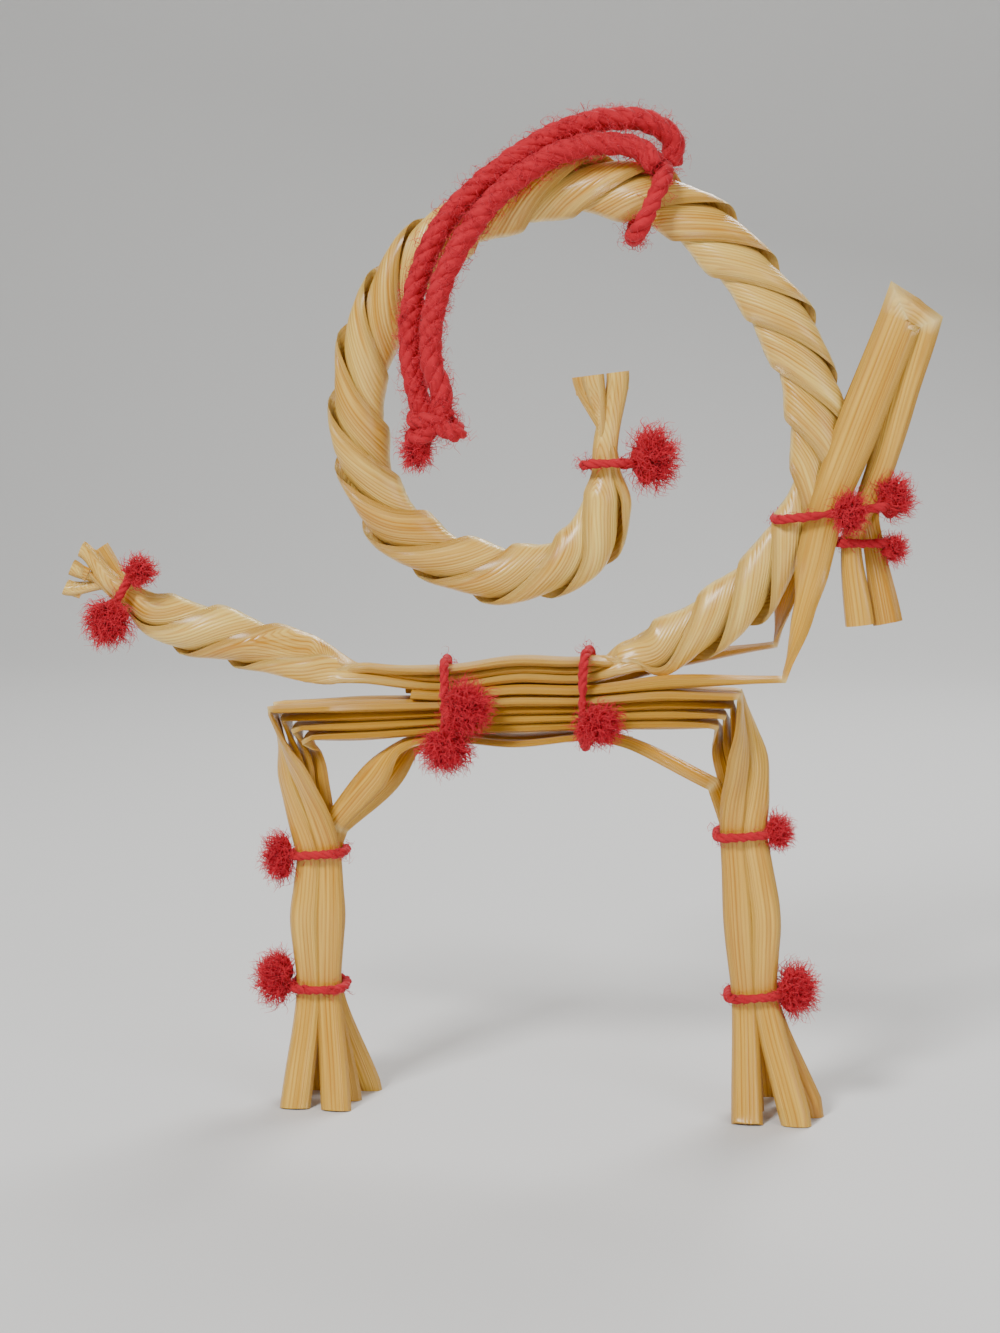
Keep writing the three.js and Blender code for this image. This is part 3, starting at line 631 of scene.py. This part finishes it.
def leg_straw(number, material):
    """A straw from the rear foot up the leg, along the body and down to the front foot."""
    straw = LEG_STRAWS[number]
    coarse = Route(LEG_MARKS, 4.2)
    mark = coarse.mark
    past = np.maximum(0, np.maximum(1 - mark, mark - 15)) ** 1.4
    toe = np.where(mark < 3, -straw["rear"][0], straw["front"][0])
    splay = np.where(mark < 3, straw["rear"][1], straw["front"][1])
    lane = straw["lane"] * LANE * eased(LEG_LANE, mark)
    if straw["opens"]:
        lane = lane * (1 - eased(LEG_OPENING, mark))
    through = layer_place(straw["layer"]) * eased(LEG_LAYER, mark) + past * splay
    route = coarse.shifted(lane + past * toe, through, eased(LEG_TURN, mark)).refined(0.8)
    width = eased(LEG_OPEN if straw["opens"] else LEG_NARROW, route.mark)
    grid = on_ground(flat_grid(route, width, eased(LEG_TURN, route.mark), arch=0.25), (0, -1))
    return straw_object(f"leg_straw_{number + 1}", material, route, grid,
                        eased(LEG_THICKNESS, route.mark), straw["tone"])


def in_leg(mark, layer, fan=(0, 0)):
    """A place inside a leg bundle for a brace straw."""
    x, _, z = LEG_MARKS[mark][:3]
    towards = 1 if mark < 4 else -1
    through = layer_place(layer) * LEG_LAYER[mark]
    return (x + towards * LANE * LEG_LANE[mark] + fan[0], through + fan[1], z)


def from_rear_foot(layer, fan):
    """The first marks of a brace straw: from the rear foot up to the leg's upper tie."""
    return [in_leg(0, layer, fan), in_leg(1, layer), in_leg(2, layer), in_leg(3, layer)]


def brace_straws(material):
    """The long and the short brace, which leave the rear leg and pass under the belly."""
    ends, thin = [3.5, 2.6, 2.9, 2.5], [1.1, 0.55, 0.7, 0.5]
    straws = {
        "brace_straw_long": dict(
            marks=[*from_rear_foot(2, (1.2, -0.7)), (-16.9, -0.5, 31.9, "fold"), (-12.6, -0.7, 37.0),
                   (-8.6, -1.3, 41.5), (REAR_TIE, -1.45, 42.35), (4.0, -1.5, 41.9), (FRONT_TIE, -1.45, 42.75),
                   (16.0, -1.3, 42.4), (26.0, -0.55, 37.6, "fold"), in_leg(13, 2), in_leg(14, 2), in_leg(15, 2),
                   in_leg(16, 2, (-1.0, 0.3))],
            turn=[0, 0, 0, 0, 0, 0.1, 0.8, 1, 1, 1, 0.8, 0.5, 0, 0, 0, 0],
            width=[*ends, 2.6, 3.4, 3.0, 2.8, 3.0, 2.8, 2.6, 2.0, *ends[::-1]],
            thickness=[*thin, 0.5, 0.6, 0.6, 0.5, 0.5, 0.5, 0.6, 0.5, *thin[::-1]], tone=0.5, ground=(0, -1)),
        "brace_straw_short": dict(
            marks=[*from_rear_foot(3, (3.0, 2.2)), (-16.4, 0.25, 31.7, "fold"), (-11.4, 0.9, 36.6),
                   (-6.9, 1.4, 41.4), (REAR_TIE, 1.45, 42.35), (4.0, 1.5, 42.2), (FRONT_TIE, 1.45, 42.7),
                   (16.8, 1.35, 41.8)],
            turn=[0, 0, 0, 0, 0, 0.1, 0.8, 1, 1, 1, 1],
            width=[*ends, 2.6, 3.4, 3.0, 2.8, 3.0, 2.8, 3.2],
            thickness=[*thin, 0.5, 0.6, 0.6, 0.5, 0.5, 0.5, 1.0], tone=0.75, ground=(0,)),
    }
    for name, straw in straws.items():
        route = Route(straw["marks"], 0.8)
        width, turn, thickness = (eased(straw[key], route.mark) for key in ("width", "turn", "thickness"))
        grid = on_ground(flat_grid(route, width, turn * QUARTER, arch=0.2), straw["ground"])
        yield straw_object(name, material, route, grid, thickness, straw["tone"])


# ------------------------------------------------------------------ tail, back and ring horn
PLAIT_MARKS = [
    (-46.2, 0, 60.8), (-40.2, 0, 58.0), (-35.8, 0, 55.1), (-27.2, 0, 52.7), (-20.0, 0, 50.6), (-12.0, 0, 49.3),
    (REAR_TIE, 0, 48.9), (4.0, 0, 50.0), (FRONT_TIE, 0, 50.1), (16.5, 0, 51.7), (20.5, 0, 52.7), (28.5, 0, 58.0),
    (33.0, 0, 63.4), (35.6, 0, 68.2), (36.6, 0, 77.5), (31.3, 0, 90.4), (19.2, 0, 101.0), (5.4, 0, 101.6),
    (-8.6, 0, 93.1), (-13.6, 0, 79.0), (-9.6, 0, 66.2), (2.4, 0, 60.4), (11.2, 0, 62.9), (13.8, 0, 68.5),
    (14.0, 0, 72.7), (12.8, 0, 82.4),
]
PLAIT_PERIOD = 19.5
PLAIT_PACE = [0, 0, 1, 1, 0.5] + [0] * 5 + [1] * 13 + [0.4, 0, 0]
PLAIT_TURN = np.array([0, 0, 0, 0, 0.2, 1, 1, 1, 1, 0.5] + [0] * 16) * QUARTER
PLAIT_WIDE = [1.9, 1.7, 2.5, 2.7, 2.6, 2.3, 2.1, 2.2, 2.1, 2.4, 2.7, 2.8, 2.6, 2.1] + \
    [2.75] * 9 + [2.4, 1.8, 2.2]
PLAIT_DEEP = [0.9, 1.0, 1.3, 1.4, 1.3, 1.2, 1.1, 1.2, 1.1, 1.2, 1.5, 1.5, 1.4, 1.1] + \
    [1.45] * 9 + [1.3, 1.0, 0.9]
PLAIT_LIE = [1, 0.2, 0, 0, 0.15, 0.8, 1, 1, 1, 0.4, 0, 0, 0, 0] + [0] * 9 + [0, 0.3, 1]
PLAIT_FLAT_WIDE = [0.95, 1.1] + [1.9] * 8 + [1.6] * 14 + [1.2, 1.25]
PLAIT_THICKNESS = [0.9, 0.35, 0.36, 0.36, 0.5, 0.9, 0.9, 1.0, 0.9, 0.6] + [0.36] * 14 + [0.4, 0.9]
TAIL_TIPS = [(-2.5, 0.3), (0.1, -0.7), (2.3, 0.1)]
GRIPPED = [(-0.5, 0.5), (0.0, -0.5), (0.5, 0.0)]
ON_THE_BACK = [(0.5, 0.0), (-0.3, -0.95), (-0.3, 0.9)]
HORN_TIPS = [(-2.2, 0.0), (0.5, -0.6), (1.6, 0.5)]
PLAIT_FLAT = np.array([TAIL_TIPS, GRIPPED] + [ON_THE_BACK] * 22 + [GRIPPED, HORN_TIPS], float)


def plait_phase(route):
    """How far each station is round the plait's turn, resting at a quarter turn on the back."""
    run = np.diff(route.distance, prepend=0)
    phase = np.cumsum(eased(PLAIT_PACE, route.mark) * run * 2 * np.pi / PLAIT_PERIOD)
    return phase - phase[np.argmax(route.mark >= 7)] + QUARTER


def plait_straw(number, material):
    """A straw of the plait, folded from rim to rim round the plait's hollow middle.

    Round the plait, the place across is a triangle wave of the angle and the place in depth its
    cosine, so each straw crosses a face straight and folds sharply at the rim. One edge lies
    lower and the other higher, like a shingle, with a blunt ridge between them. Each crossing
    has a brightness of its own, a painted reflection of the light off its facet, and each rim
    fold a painted highlight. Along the back and at both ends the straw eases into a flat strip.
    """
    route = Route(PLAIT_MARKS, 0.4)
    mark = route.mark
    column = lambda values: eased(values, mark)[:, None]
    u = np.linspace(-1, 1, 17)[None]
    spread, rim_lap, face_lap, ridge, corner = 1.3, 0.62, 0.36, 0.42, 0.975
    angle = (plait_phase(route) + number * 2 * np.pi / 3)[:, None] + u * spread
    middle = angle[:, 8:9]
    uneven = 0.16 * np.sin(1.7 * middle + 2.1 * number) + 0.12 * np.sin(0.61 * middle + number)
    roof = ridge * (1 - np.abs(u - 0.25) / np.where(u > 0.25, 0.75, 1.25))
    wave = np.arcsin(corner * np.sin(angle)) / np.arcsin(corner)
    rise = np.cos(angle)
    x = (column(PLAIT_WIDE) + uneven + rim_lap * u) * wave
    y = -(column(PLAIT_DEEP) + uneven / 2 + face_lap * u + roof) * np.sign(rise) * np.abs(rise) ** 0.7
    lie = column(PLAIT_LIE)
    flat = eased(PLAIT_FLAT[:, number], mark)
    x = x * (1 - lie) + (flat[:, :1] + u * column(PLAIT_FLAT_WIDE)) * lie
    y = y * (1 - lie) + flat[:, 1:] * lie
    turn = column(PLAIT_TURN)
    side = (x * np.cos(turn) - y * np.sin(turn))[..., None]
    depth = (x * np.sin(turn) + y * np.cos(turn))[..., None]
    grid = route.point[:, None] + route.side[:, None] * side + route.depth[:, None] * depth
    # Painted reflection: each crossing of a face gets a brightness of its own, drawn from its number, for the
    # light its facet reflects.
    crossing = np.floor(angle / np.pi + 0.5)
    facet_reflection = np.modf(np.abs(np.sin(crossing * 12.9 + number * 4.1)) * 437.5)[0]
    tone = (0.85, 0.6, 0.75)[number] + (facet_reflection - 0.5) * 0.7 * (1 - lie)
    # Along each rim fold the straw shader paints a highlight.
    fold = np.exp(-((np.abs(wave) - 1) / 0.05) ** 2) * (1 - lie)
    return straw_object(f"plait_straw_{number + 1}", material, route, grid, eased(PLAIT_THICKNESS, mark),
                        tone, fold=fold, ridges=0.02)


def tail_filler(material):
    """The short straw gripped behind the tail tie."""
    route = Route([(-43.4, 1.9, 63.0), (-40.6, 2.0, 58.8), (-37.5, 2.0, 56.5)], 0.6)
    still = np.zeros(len(route.mark))
    grid = flat_grid(route, eased([1.7, 1.4, 1.2], route.mark), still, places=7)
    return straw_object("tail_filler_straw", material, route, grid, still + 0.6, 0.8, ridges=0.0)


# ------------------------------------------------------------------ neck, head and beard
NECK = {
    "near": dict(
        marks=[(-7.5, -1.45, 47.3), (REAR_TIE, -1.45, 47.2), (4, -1.5, 48.0), (FRONT_TIE, -1.45, 48.05),
               (21.0, -1.7, 49.1), (33.4, -1.9, 49.7, "fold"), (35.2, -2.2, 57.0), (36.5, -2.25, 63.0),
               (37.6, -2.1, 67.8), (40.7, -2.05, 76.5), (45.3, -1.5, 88.9, "fold"), (47.2, -0.7, 87.6, "fold"),
               (45.2, -0.7, 79.7), (43.4, -0.6, 72.5), (41.5, -0.5, 67.6), (40.5, -0.5, 64.6), (41.6, -0.4, 55.4)],
        width=[3.0, 2.8, 3.0, 2.8, 3.0, 2.8, 3.2, 3.9, 4.0, 4.7, 4.6, 4.2, 3.6, 3.0, 2.4, 2.2, 3.2],
        arch=0.35, tone=0.6),
    # The far straw's lower tone is painted shade: it lies behind the near one.
    "far": dict(
        marks=[(-8.5, 1.45, 47.3), (REAR_TIE, 1.45, 47.2), (4, 1.5, 48.0), (FRONT_TIE, 1.5, 48.05),
               (22.5, 2.9, 50.9), (32.6, 3.0, 52.6, "fold"), (33.9, 2.6, 58.5), (35.6, 2.25, 63.5),
               (37.0, 2.25, 67.6), (40.7, 2.3, 76.5), (45.3, 1.5, 88.5, "fold"), (47.0, 0.7, 87.2, "fold"),
               (45.2, 0.7, 79.7), (43.4, 0.6, 72.5), (42.2, 0.5, 67.6), (42.75, 0.5, 64.6), (44.6, 0.4, 55.6)],
        width=[3.0, 2.8, 3.0, 2.8, 3.2, 2.6, 3.1, 3.9, 4.0, 4.7, 4.6, 4.2, 3.6, 3.0, 2.4, 2.2, 3.2],
        arch=-0.35, tone=0.3),
}
NECK_TURN = np.array([1, 1, 1, 1, 1, 1, 0.5] + [0] * 10) * QUARTER
NECK_THICKNESS = [0.9, 0.9, 0.9, 0.9, 1.4] + [0.5, 0.55, 0.6, 0.5, 0.7, 0.6, 0.6, 0.6, 0.5, 0.5, 0.6, 1.5]


def neck_straw(which, material):
    """A straw from the body up the face, over the top of the head and down to the beard."""
    straw = NECK[which]
    route = Route(straw["marks"], 0.7)
    width = eased(straw["width"], route.mark)
    grid = flat_grid(route, width, eased(NECK_TURN, route.mark), arch=straw["arch"])
    thickness = eased(NECK_THICKNESS, route.mark)
    return straw_object(f"neck_straw_{which}", material, route, grid, thickness, straw["tone"])


# ------------------------------------------------------------------ ties
def loop_line(centre, side, depth, half_side, half_depth, lean=0.0):
    """A closed line round a bundle: a rounded rectangle, swaying along the bundle by lean."""
    a = np.arange(72)[:, None] / 72 * 2 * np.pi
    across, through = (np.sign(v) * np.abs(v) ** 0.5 for v in (np.cos(a), np.sin(a)))
    along = np.cross(side, depth)
    return (np.asarray(centre) + across * half_side * np.asarray(side)
            + through * half_depth * np.asarray(depth) + lean * np.sin(a) * along)


def loop_on(route, mark, half_side, half_depth, lean=0.0):
    """A loop line round the bundle at a mark of its route."""
    k = route.at(mark)
    return loop_line(route.point[k], route.side[k], route.depth[k], half_side, half_depth, lean)


def loop_at(x, z, angle, half_side, half_depth, lean=0.0):
    """A loop line at x and z, its side direction turned by an angle from upright."""
    side = np.array([-np.sin(angle), 0, np.cos(angle)])
    return loop_line((x, 0, z), side, AWAY, half_side, half_depth, lean)


def tuft_parts(root, centre, size, seed, count):
    """A tuft of cut yarn ends: a soft core and fibres fanned from the root through it."""
    rng = np.random.default_rng(seed)
    root, centre, size = (np.asarray(v, float) for v in (root, centre, size))
    core = lumpy_ball(centre + (root - centre) * 0.15, size * 0.6, seed, rough=0.25)
    direction = unit(rng.normal(size=(count, 3)))
    start = centre + direction * size * rng.uniform(0.1, 0.6, (count, 1))
    outward = unit(direction + 0.85 * unit(start - root))
    length = rng.uniform(0.5, 1.0, (count, 1)) * size.mean()
    hair, tip = fibres(start, outward * length, rng, radius=0.055, curl=0.5)
    return [core, hair], [0.0, 0.15 + 0.85 * tip]


def fuzz_part(line, radius, count, seed, length=(0.5, 1.5)):
    """Loose fibres that stand off a line of yarn, and how near its tip each point is."""
    rng = np.random.default_rng(seed)
    start = line[rng.integers(0, len(line), count)]
    direction = unit(rng.normal(size=(count, 3)))
    reach = direction * rng.uniform(*length, (count, 1))
    hair, tip = fibres(start + direction * radius * 0.8, reach, rng, radius=0.04, curl=0.9, swing=3.0)
    return hair, 0.3 + 0.7 * tip


# Each tie lies "on" a route (its name, mark, half side, half depth, lean) or "at" a place
# (x, z, angle, half side, half depth, lean). Each tuft has a root, a centre and a size.
TIE_YARN = 1.12
LEG_LOOP = (2.95, 2.2)
TIES = {
    "tie_tail": dict(
        on=("plait", 1, 2.7, 2.4),
        tufts=[((-40, -1, 58), (-38.0, -2.6, 60.6), (1.9, 1.7, 1.8)),
               ((-40, -1, 58), (-41.4, -2.8, 55.2), (2.6, 1.9, 3.0))]),
    "tie_belly_rear": dict(
        at=(REAR_TIE, 46.0, 0, 4.9, 3.65, 0.3),
        tufts=[((-3.9, -3.5, 46), (-1.2, -4.9, 46.3), (3.0, 1.7, 3.3)),
               ((-3.9, -3.5, 44), (-3.4, -4.4, 41.7), (3.1, 1.8, 2.7))]),
    "tie_belly_front": dict(
        at=(FRONT_TIE, 46.85, 0, 5.3, 3.65, -0.3),
        tufts=[((11.9, -3.5, 46), (13.4, -4.9, 44.8), (2.9, 1.6, 2.3))]),
    "tie_rear_leg_upper": dict(
        on=("leg", 3, *LEG_LOOP, 0.12),
        tufts=[((-20.8, 0, 28.6), (-22.7, -0.8, 28.2), (1.5, 1.8, 3.5))]),
    "tie_rear_leg_lower": dict(
        on=("leg", 1, *LEG_LOOP, -0.12),
        tufts=[((-21, 0, 13.3), (-23.3, -0.6, 14.1), (2.0, 1.9, 3.7))]),
    "tie_front_leg_upper": dict(
        on=("leg", 13, *LEG_LOOP, 0.15),
        tufts=[((31.6, 0, 32.1), (33.0, -0.7, 32.3), (1.5, 1.7, 2.4))]),
    "tie_front_leg_lower": dict(
        on=("leg", 15, *LEG_LOOP, 0.1),
        tufts=[((33.2, 0, 13.8), (35.2, -0.6, 14.4), (2.1, 1.9, 3.4))]),
    "tie_head": dict(
        at=(38.2, 67.7, 1.7, 6.1, 3.15),
        tufts=[((39, -3, 67.8), (39.9, -4.0, 67.8), (1.9, 1.6, 2.5)),
               ((43.6, -1, 68), (44.7, -0.8, 69.2), (2.0, 1.9, 2.6))]),
    "tie_beard": dict(
        at=(41.65, 64.4, QUARTER, 2.6, 1.5),
        tufts=[((43.6, -0.5, 64), (44.9, -0.6, 63.8), (1.5, 1.5, 1.7))]),
    "tie_horn_tip": dict(
        on=("plait", 24, 2.65, 2.05, 0.2),
        tufts=[((16.6, -0.4, 72.8), (18.7, -0.6, 73.4), (2.6, 2.1, 3.9))]),
}
FULL_TUFT = 7.0


def tie(name, place, seed, fibre_count, material):
    """A tie: a turn of plied yarn, its cut ends fluffed out into tufts, and loose fibres."""
    if "on" in place:
        which, *rest = place["on"]
        route = Route(PLAIT_MARKS, 2.1) if which == "plait" else Route(LEG_MARKS, 4.2)
        line = loop_on(route, *rest)
    else:
        line = loop_at(*place["at"])
    start = line[0] - line.mean(0)
    parts = plied(line, TIE_YARN / 2, 3, 3.2, closed=True, sides=6, start=start, seed=seed)
    tips = [0.12] * len(parts)
    hair, tip = fuzz_part(line, TIE_YARN / 2, 90, seed + 40, (0.4, 1.1))
    parts.append(hair)
    tips.append(tip)
    for i, (root, centre, size) in enumerate(place["tufts"]):
        count = int(fibre_count * min(1.0, size[0] * size[2] / FULL_TUFT))
        more, more_tips = tuft_parts(root, centre, size, seed + 7 * i + 3, count)
        parts += more
        tips += more_tips
    return wool_object(name, parts, tips, material, name)


# ------------------------------------------------------------------ hanging loop
HITCH = (18.2, 100.6, -0.42)
OUTER_STRAND = [
    (20.5, 1.4, 105.0), (20.7, 1.0, 107.2), (18.6, 0.2, 109.0), (14.4, -0.4, 109.5), (9.0, -1.4, 108.2),
    (4.0, -2.5, 105.3), (-0.2, -3.4, 102.0), (-3.6, -3.9, 98.3), (-5.9, -4.0, 93.6), (-7.1, -4.0, 88.6),
    (-7.1, -4.0, 84.2), (-6.2, -4.2, 79.7), (-5.6, -4.4, 78.0),
]
INNER_STRAND = [
    (18.9, -2.6, 104.6), (17.4, -2.6, 106.0), (14.2, -2.7, 106.7), (10.2, -3.0, 106.2), (6.2, -3.8, 104.3),
    (2.4, -4.8, 101.2), (-0.6, -5.6, 97.4), (-3.0, -6.0, 93.0), (-4.4, -6.0, 88.4), (-4.6, -5.7, 84.0),
    (-3.5, -5.2, 79.8), (-3.9, -5.1, 78.2),
]


def knot(radius, material):
    """The overhand knot: three short turns of yarn and a frayed tail of cut ends."""
    parts, tips = [], []
    turns = [((-4.9, -4.7, 78.0), 1.7, 1.2, 0.15), ((-5.4, -4.8, 76.4), 1.6, 1.0, 0.5),
             ((-3.0, -5.0, 76.9), 1.3, 0.9, -0.5)]
    for seed, (centre, wide, deep, lean) in enumerate(turns):
        a = np.arange(60)[:, None] / 60 * 2 * np.pi
        side = np.array([np.cos(lean), 0, np.sin(lean)])
        line = np.array(centre) + np.cos(a) * side * wide + np.sin(a) * np.array([0, 1, 0.4]) * deep
        more = plied(line, radius * 0.9, 3, 4.4, closed=True, start=line[0] - np.array(centre), seed=seed)
        hair, tip = fuzz_part(line, radius, 160, 60 + seed)
        parts += [*more, hair]
        tips += [0.1] * len(more) + [tip]
    more, more_tips = tuft_parts((-5, -4.8, 77), (-6.3, -4.7, 74.2), (1.9, 1.5, 2.4), 77, 420)
    return wool_object("hanger_knot", parts + more, tips + more_tips, material, "hanger_knot")


def strand(name, marks, yarn, seed, material):
    """A slack strand of plied yarn and its fuzz."""
    route = Route(marks, 0.35)
    parts = plied(route.point, yarn * 0.58, 4, 7.0, seed=seed)
    rope = wool_object(f"hanger_strand_{name}", parts, [0.12] * len(parts), material, f"hanger_strand_{name}")
    hair, tip = fuzz_part(route.point, yarn / 2, 1700, seed + 1)
    fuzz = wool_object(f"hanger_fuzz_{name}", [hair], [tip], material)
    path = (route.point[::6] - MIDDLE) * 0.001
    path = np.vstack([path, (route.point[-1:] - MIDDLE) * 0.001])
    tuple(path[0])


def hitch(yarn, material):
    """The turn of the yarn round the top of the horn."""
    line = loop_at(*HITCH, 3.9, 3.4, 0.5)
    parts = plied(line, yarn * 0.47, 3, 4.4, closed=True, start=line[0] - line.mean(0), seed=9)
    hair, tip = fuzz_part(line, yarn / 2, 260, 91)
    return wool_object("hanger_hitch", [*parts, hair], [0.12] * len(parts) + [tip], material, "hanger_hitch")


# ------------------------------------------------------------------ settings and operators
def colour(name, description, default):
    """A colour setting with its default."""
    return FloatVectorProperty(name=name, description=description, subtype="COLOR", size=3,
                               default=default, min=0, max=1)


class StrawGoatSettings(bpy.types.PropertyGroup):
    """Sizes and colours of the ornament."""

    pale_straw: colour("Pale straw", "Light parts of the plaited straws", (0.96, 0.69, 0.17))
    golden_straw: colour("Golden straw", "Light parts of the body straws", (0.94, 0.61, 0.10))
    amber_straw: colour("Amber straw", "Dark lines of every straw", (0.52, 0.22, 0.008))
    wool_deep: colour("Deep wool", "Red between the fibres", (0.36, 0.001, 0.006))
    wool_bright: colour("Bright wool", "Red of the fibre tips", (0.70, 0.008, 0.03))
    tuft_fibres: IntProperty(
        name="Tuft fibres", description="Fibres in a large tuft", default=1000, min=50, max=2000)
    hanger_yarn: FloatProperty(
        name="Hanger yarn", description="Diameter of the slack yarn", default=0.0022, min=0.0005, max=0.005,
        unit="LENGTH")


def settings():
    """The values of the sidebar panel."""
    return bpy.context.scene.straw_goat


def shared_material(name):
    """The named material, made when first asked for."""
    s = settings()
    if name in bpy.data.materials:
        return bpy.data.materials[name]
    if name == "red_wool_yarn":
        return wool_material(name, s.wool_deep, s.wool_bright)
    group = bpy.data.node_groups.get("straw_lines") or straw_lines()
    return straw_material(name, group, s.golden_straw if name == "gold" else s.pale_straw, s.amber_straw)


class GOAT_OT_stage(bpy.types.Operator):
    """Add the floor, the lights and the camera"""

    bl_idname = "goat.stage"
    bl_label = "Stage"

    def execute(self, context):
        scene = context.scene
        reach, back, bend, height = 0.9, 0.35, 0.25, 0.75
        a = np.linspace(0, QUARTER, 13)
        curve = np.stack([back + bend * np.sin(a), bend - bend * np.cos(a)], 1)
        profile = np.vstack([[(-reach, 0)], curve, [(back + bend, height)]])
        n = len(profile)
        mesh = bpy.data.meshes.new("floor")
        mesh.from_pydata([(x, y, z) for x in (-reach, reach) for y, z in profile], [],
                         [(i, i + n, i + n + 1, i + 1) for i in range(n - 1)])
        mesh.shade_smooth()
        floor = bpy.data.objects.new("floor", mesh)
        scene.collection.objects.link(floor)
        material, _, shader = shader_of("pale_floor")
        shader.inputs["Base Color"].default_value = (0.72, 0.72, 0.71, 1)
        shader.inputs["Roughness"].default_value = 0.7
        mesh.materials.append(material)
        floor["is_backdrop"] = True
        world = bpy.data.worlds.new("studio")
        world.use_nodes = True
        world.node_tree.nodes["Background"].inputs[0].default_value = (1.0, 0.98, 0.95, 1)
        world.node_tree.nodes["Background"].inputs[1].default_value = 0.3
        scene.world = world
        aim = Vector((0.0, 0.0, 0.055))
        lights = {"key": ((-0.22, -0.35, 0.42), 0.13, 3.0), "fill": ((0.38, -0.32, 0.22), 0.3, 0.9),
                  "rim": ((0.12, 0.28, 0.36), 0.2, 1.4)}
        for name, (place, size, power) in lights.items():
            light = bpy.data.lights.new(name, "AREA")
            light.size, light.energy = size, power
            obj = bpy.data.objects.new(name, light)
            obj.location = place
            obj.rotation_euler = (aim - Vector(place)).to_track_quat("-Z", "Y").to_euler()
            scene.collection.objects.link(obj)
        camera = bpy.data.objects.new("camera", bpy.data.cameras.new("camera"))
        target = Vector((0.00134, 0.00024, 0.05022))
        camera.location = target + Vector((0.1035, -0.9848, 0.1392)) * 0.25
        camera.rotation_euler = (target - camera.location).to_track_quat("-Z", "Y").to_euler()
        camera.data.sensor_fit = "HORIZONTAL"
        camera.data.sensor_width, camera.data.lens, camera.data.clip_start = 36, 81, 0.01
        scene.collection.objects.link(camera)
        scene.camera = camera
        return {"FINISHED"}


class GOAT_OT_legs(bpy.types.Operator):
    """Add the five leg straws and the two brace straws"""

    bl_idname = "goat.legs"
    bl_label = "Legs and body"

    def execute(self, context):
        material = shared_material("gold")
        straws = [leg_straw(number, material) for number in range(len(LEG_STRAWS))]
        for straw in [*straws, *brace_straws(material)]:
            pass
        return {"FINISHED"}


class GOAT_OT_plait(bpy.types.Operator):
    """Add the three plaited straws and the short tail straw"""

    bl_idname = "goat.plait"
    bl_label = "Tail, back and ring horn"

    def execute(self, context):
        material = shared_material("pale")
        for straw in [*(plait_straw(number, material) for number in range(3)), tail_filler(material)]:
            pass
        return {"FINISHED"}


class GOAT_OT_neck(bpy.types.Operator):
    """Add the two straws of the neck, head and beard"""

    bl_idname = "goat.neck"
    bl_label = "Neck, head and beard"

    def execute(self, context):
        for which in NECK:
            neck_straw(which, shared_material("gold"))
        return {"FINISHED"}


class GOAT_OT_ties(bpy.types.Operator):
    """Add the ten wool ties"""

    bl_idname = "goat.ties"
    bl_label = "Wool ties"

    def execute(self, context):
        for number, (name, place) in enumerate(TIES.items()):
            tie(name, place, 100 + 17 * number, settings().tuft_fibres, shared_material("red_wool_yarn"))
        return {"FINISHED"}


class GOAT_OT_hanger(bpy.types.Operator):
    """Add the yarn loop: its hitch round the horn, two slack strands and the knot"""

    bl_idname = "goat.hanger"
    bl_label = "Hanging loop"

    def execute(self, context):
        wool, yarn = shared_material("red_wool_yarn"), settings().hanger_yarn * 1000
        end = knot(yarn / 2, wool)
        strand("outer", OUTER_STRAND, yarn, 11, wool)
        strand("inner", INNER_STRAND, yarn, 23, wool)
        hitch(yarn, wool)
        return {"FINISHED"}


STEPS = (GOAT_OT_stage, GOAT_OT_legs, GOAT_OT_plait, GOAT_OT_neck, GOAT_OT_ties, GOAT_OT_hanger)


class GOAT_PT_panel(bpy.types.Panel):
    """Sizes, colours and steps of the straw goat"""

    bl_idname = "GOAT_PT_panel"
    bl_label = "Straw Goat"
    bl_space_type = "VIEW_3D"
    bl_region_type = "UI"
    bl_category = "Straw Goat"

    def draw(self, context):
        column = self.layout.column()
        for name in StrawGoatSettings.__annotations__:
            column.prop(context.scene.straw_goat, name)
        for step in STEPS:
            column.operator(step.bl_idname)


CLASSES = (StrawGoatSettings, *STEPS, GOAT_PT_panel)


def register():
    for cls in CLASSES:
        bpy.utils.register_class(cls)
    bpy.types.Scene.straw_goat = bpy.props.PointerProperty(type=StrawGoatSettings)


def unregister():
    del bpy.types.Scene.straw_goat
    for cls in reversed(CLASSES):
        bpy.utils.unregister_class(cls)


def main():
    """Build the ornament."""
    register()
    for step in STEPS:
        getattr(bpy.ops.goat, step.bl_idname.split(".")[1])()
    boxes = {"start": START_BOX, "end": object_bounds()}
    {key: [[float(x) for x in corner] for corner in box] for key, box in boxes.items()}


if __name__ == "__main__":
    main()
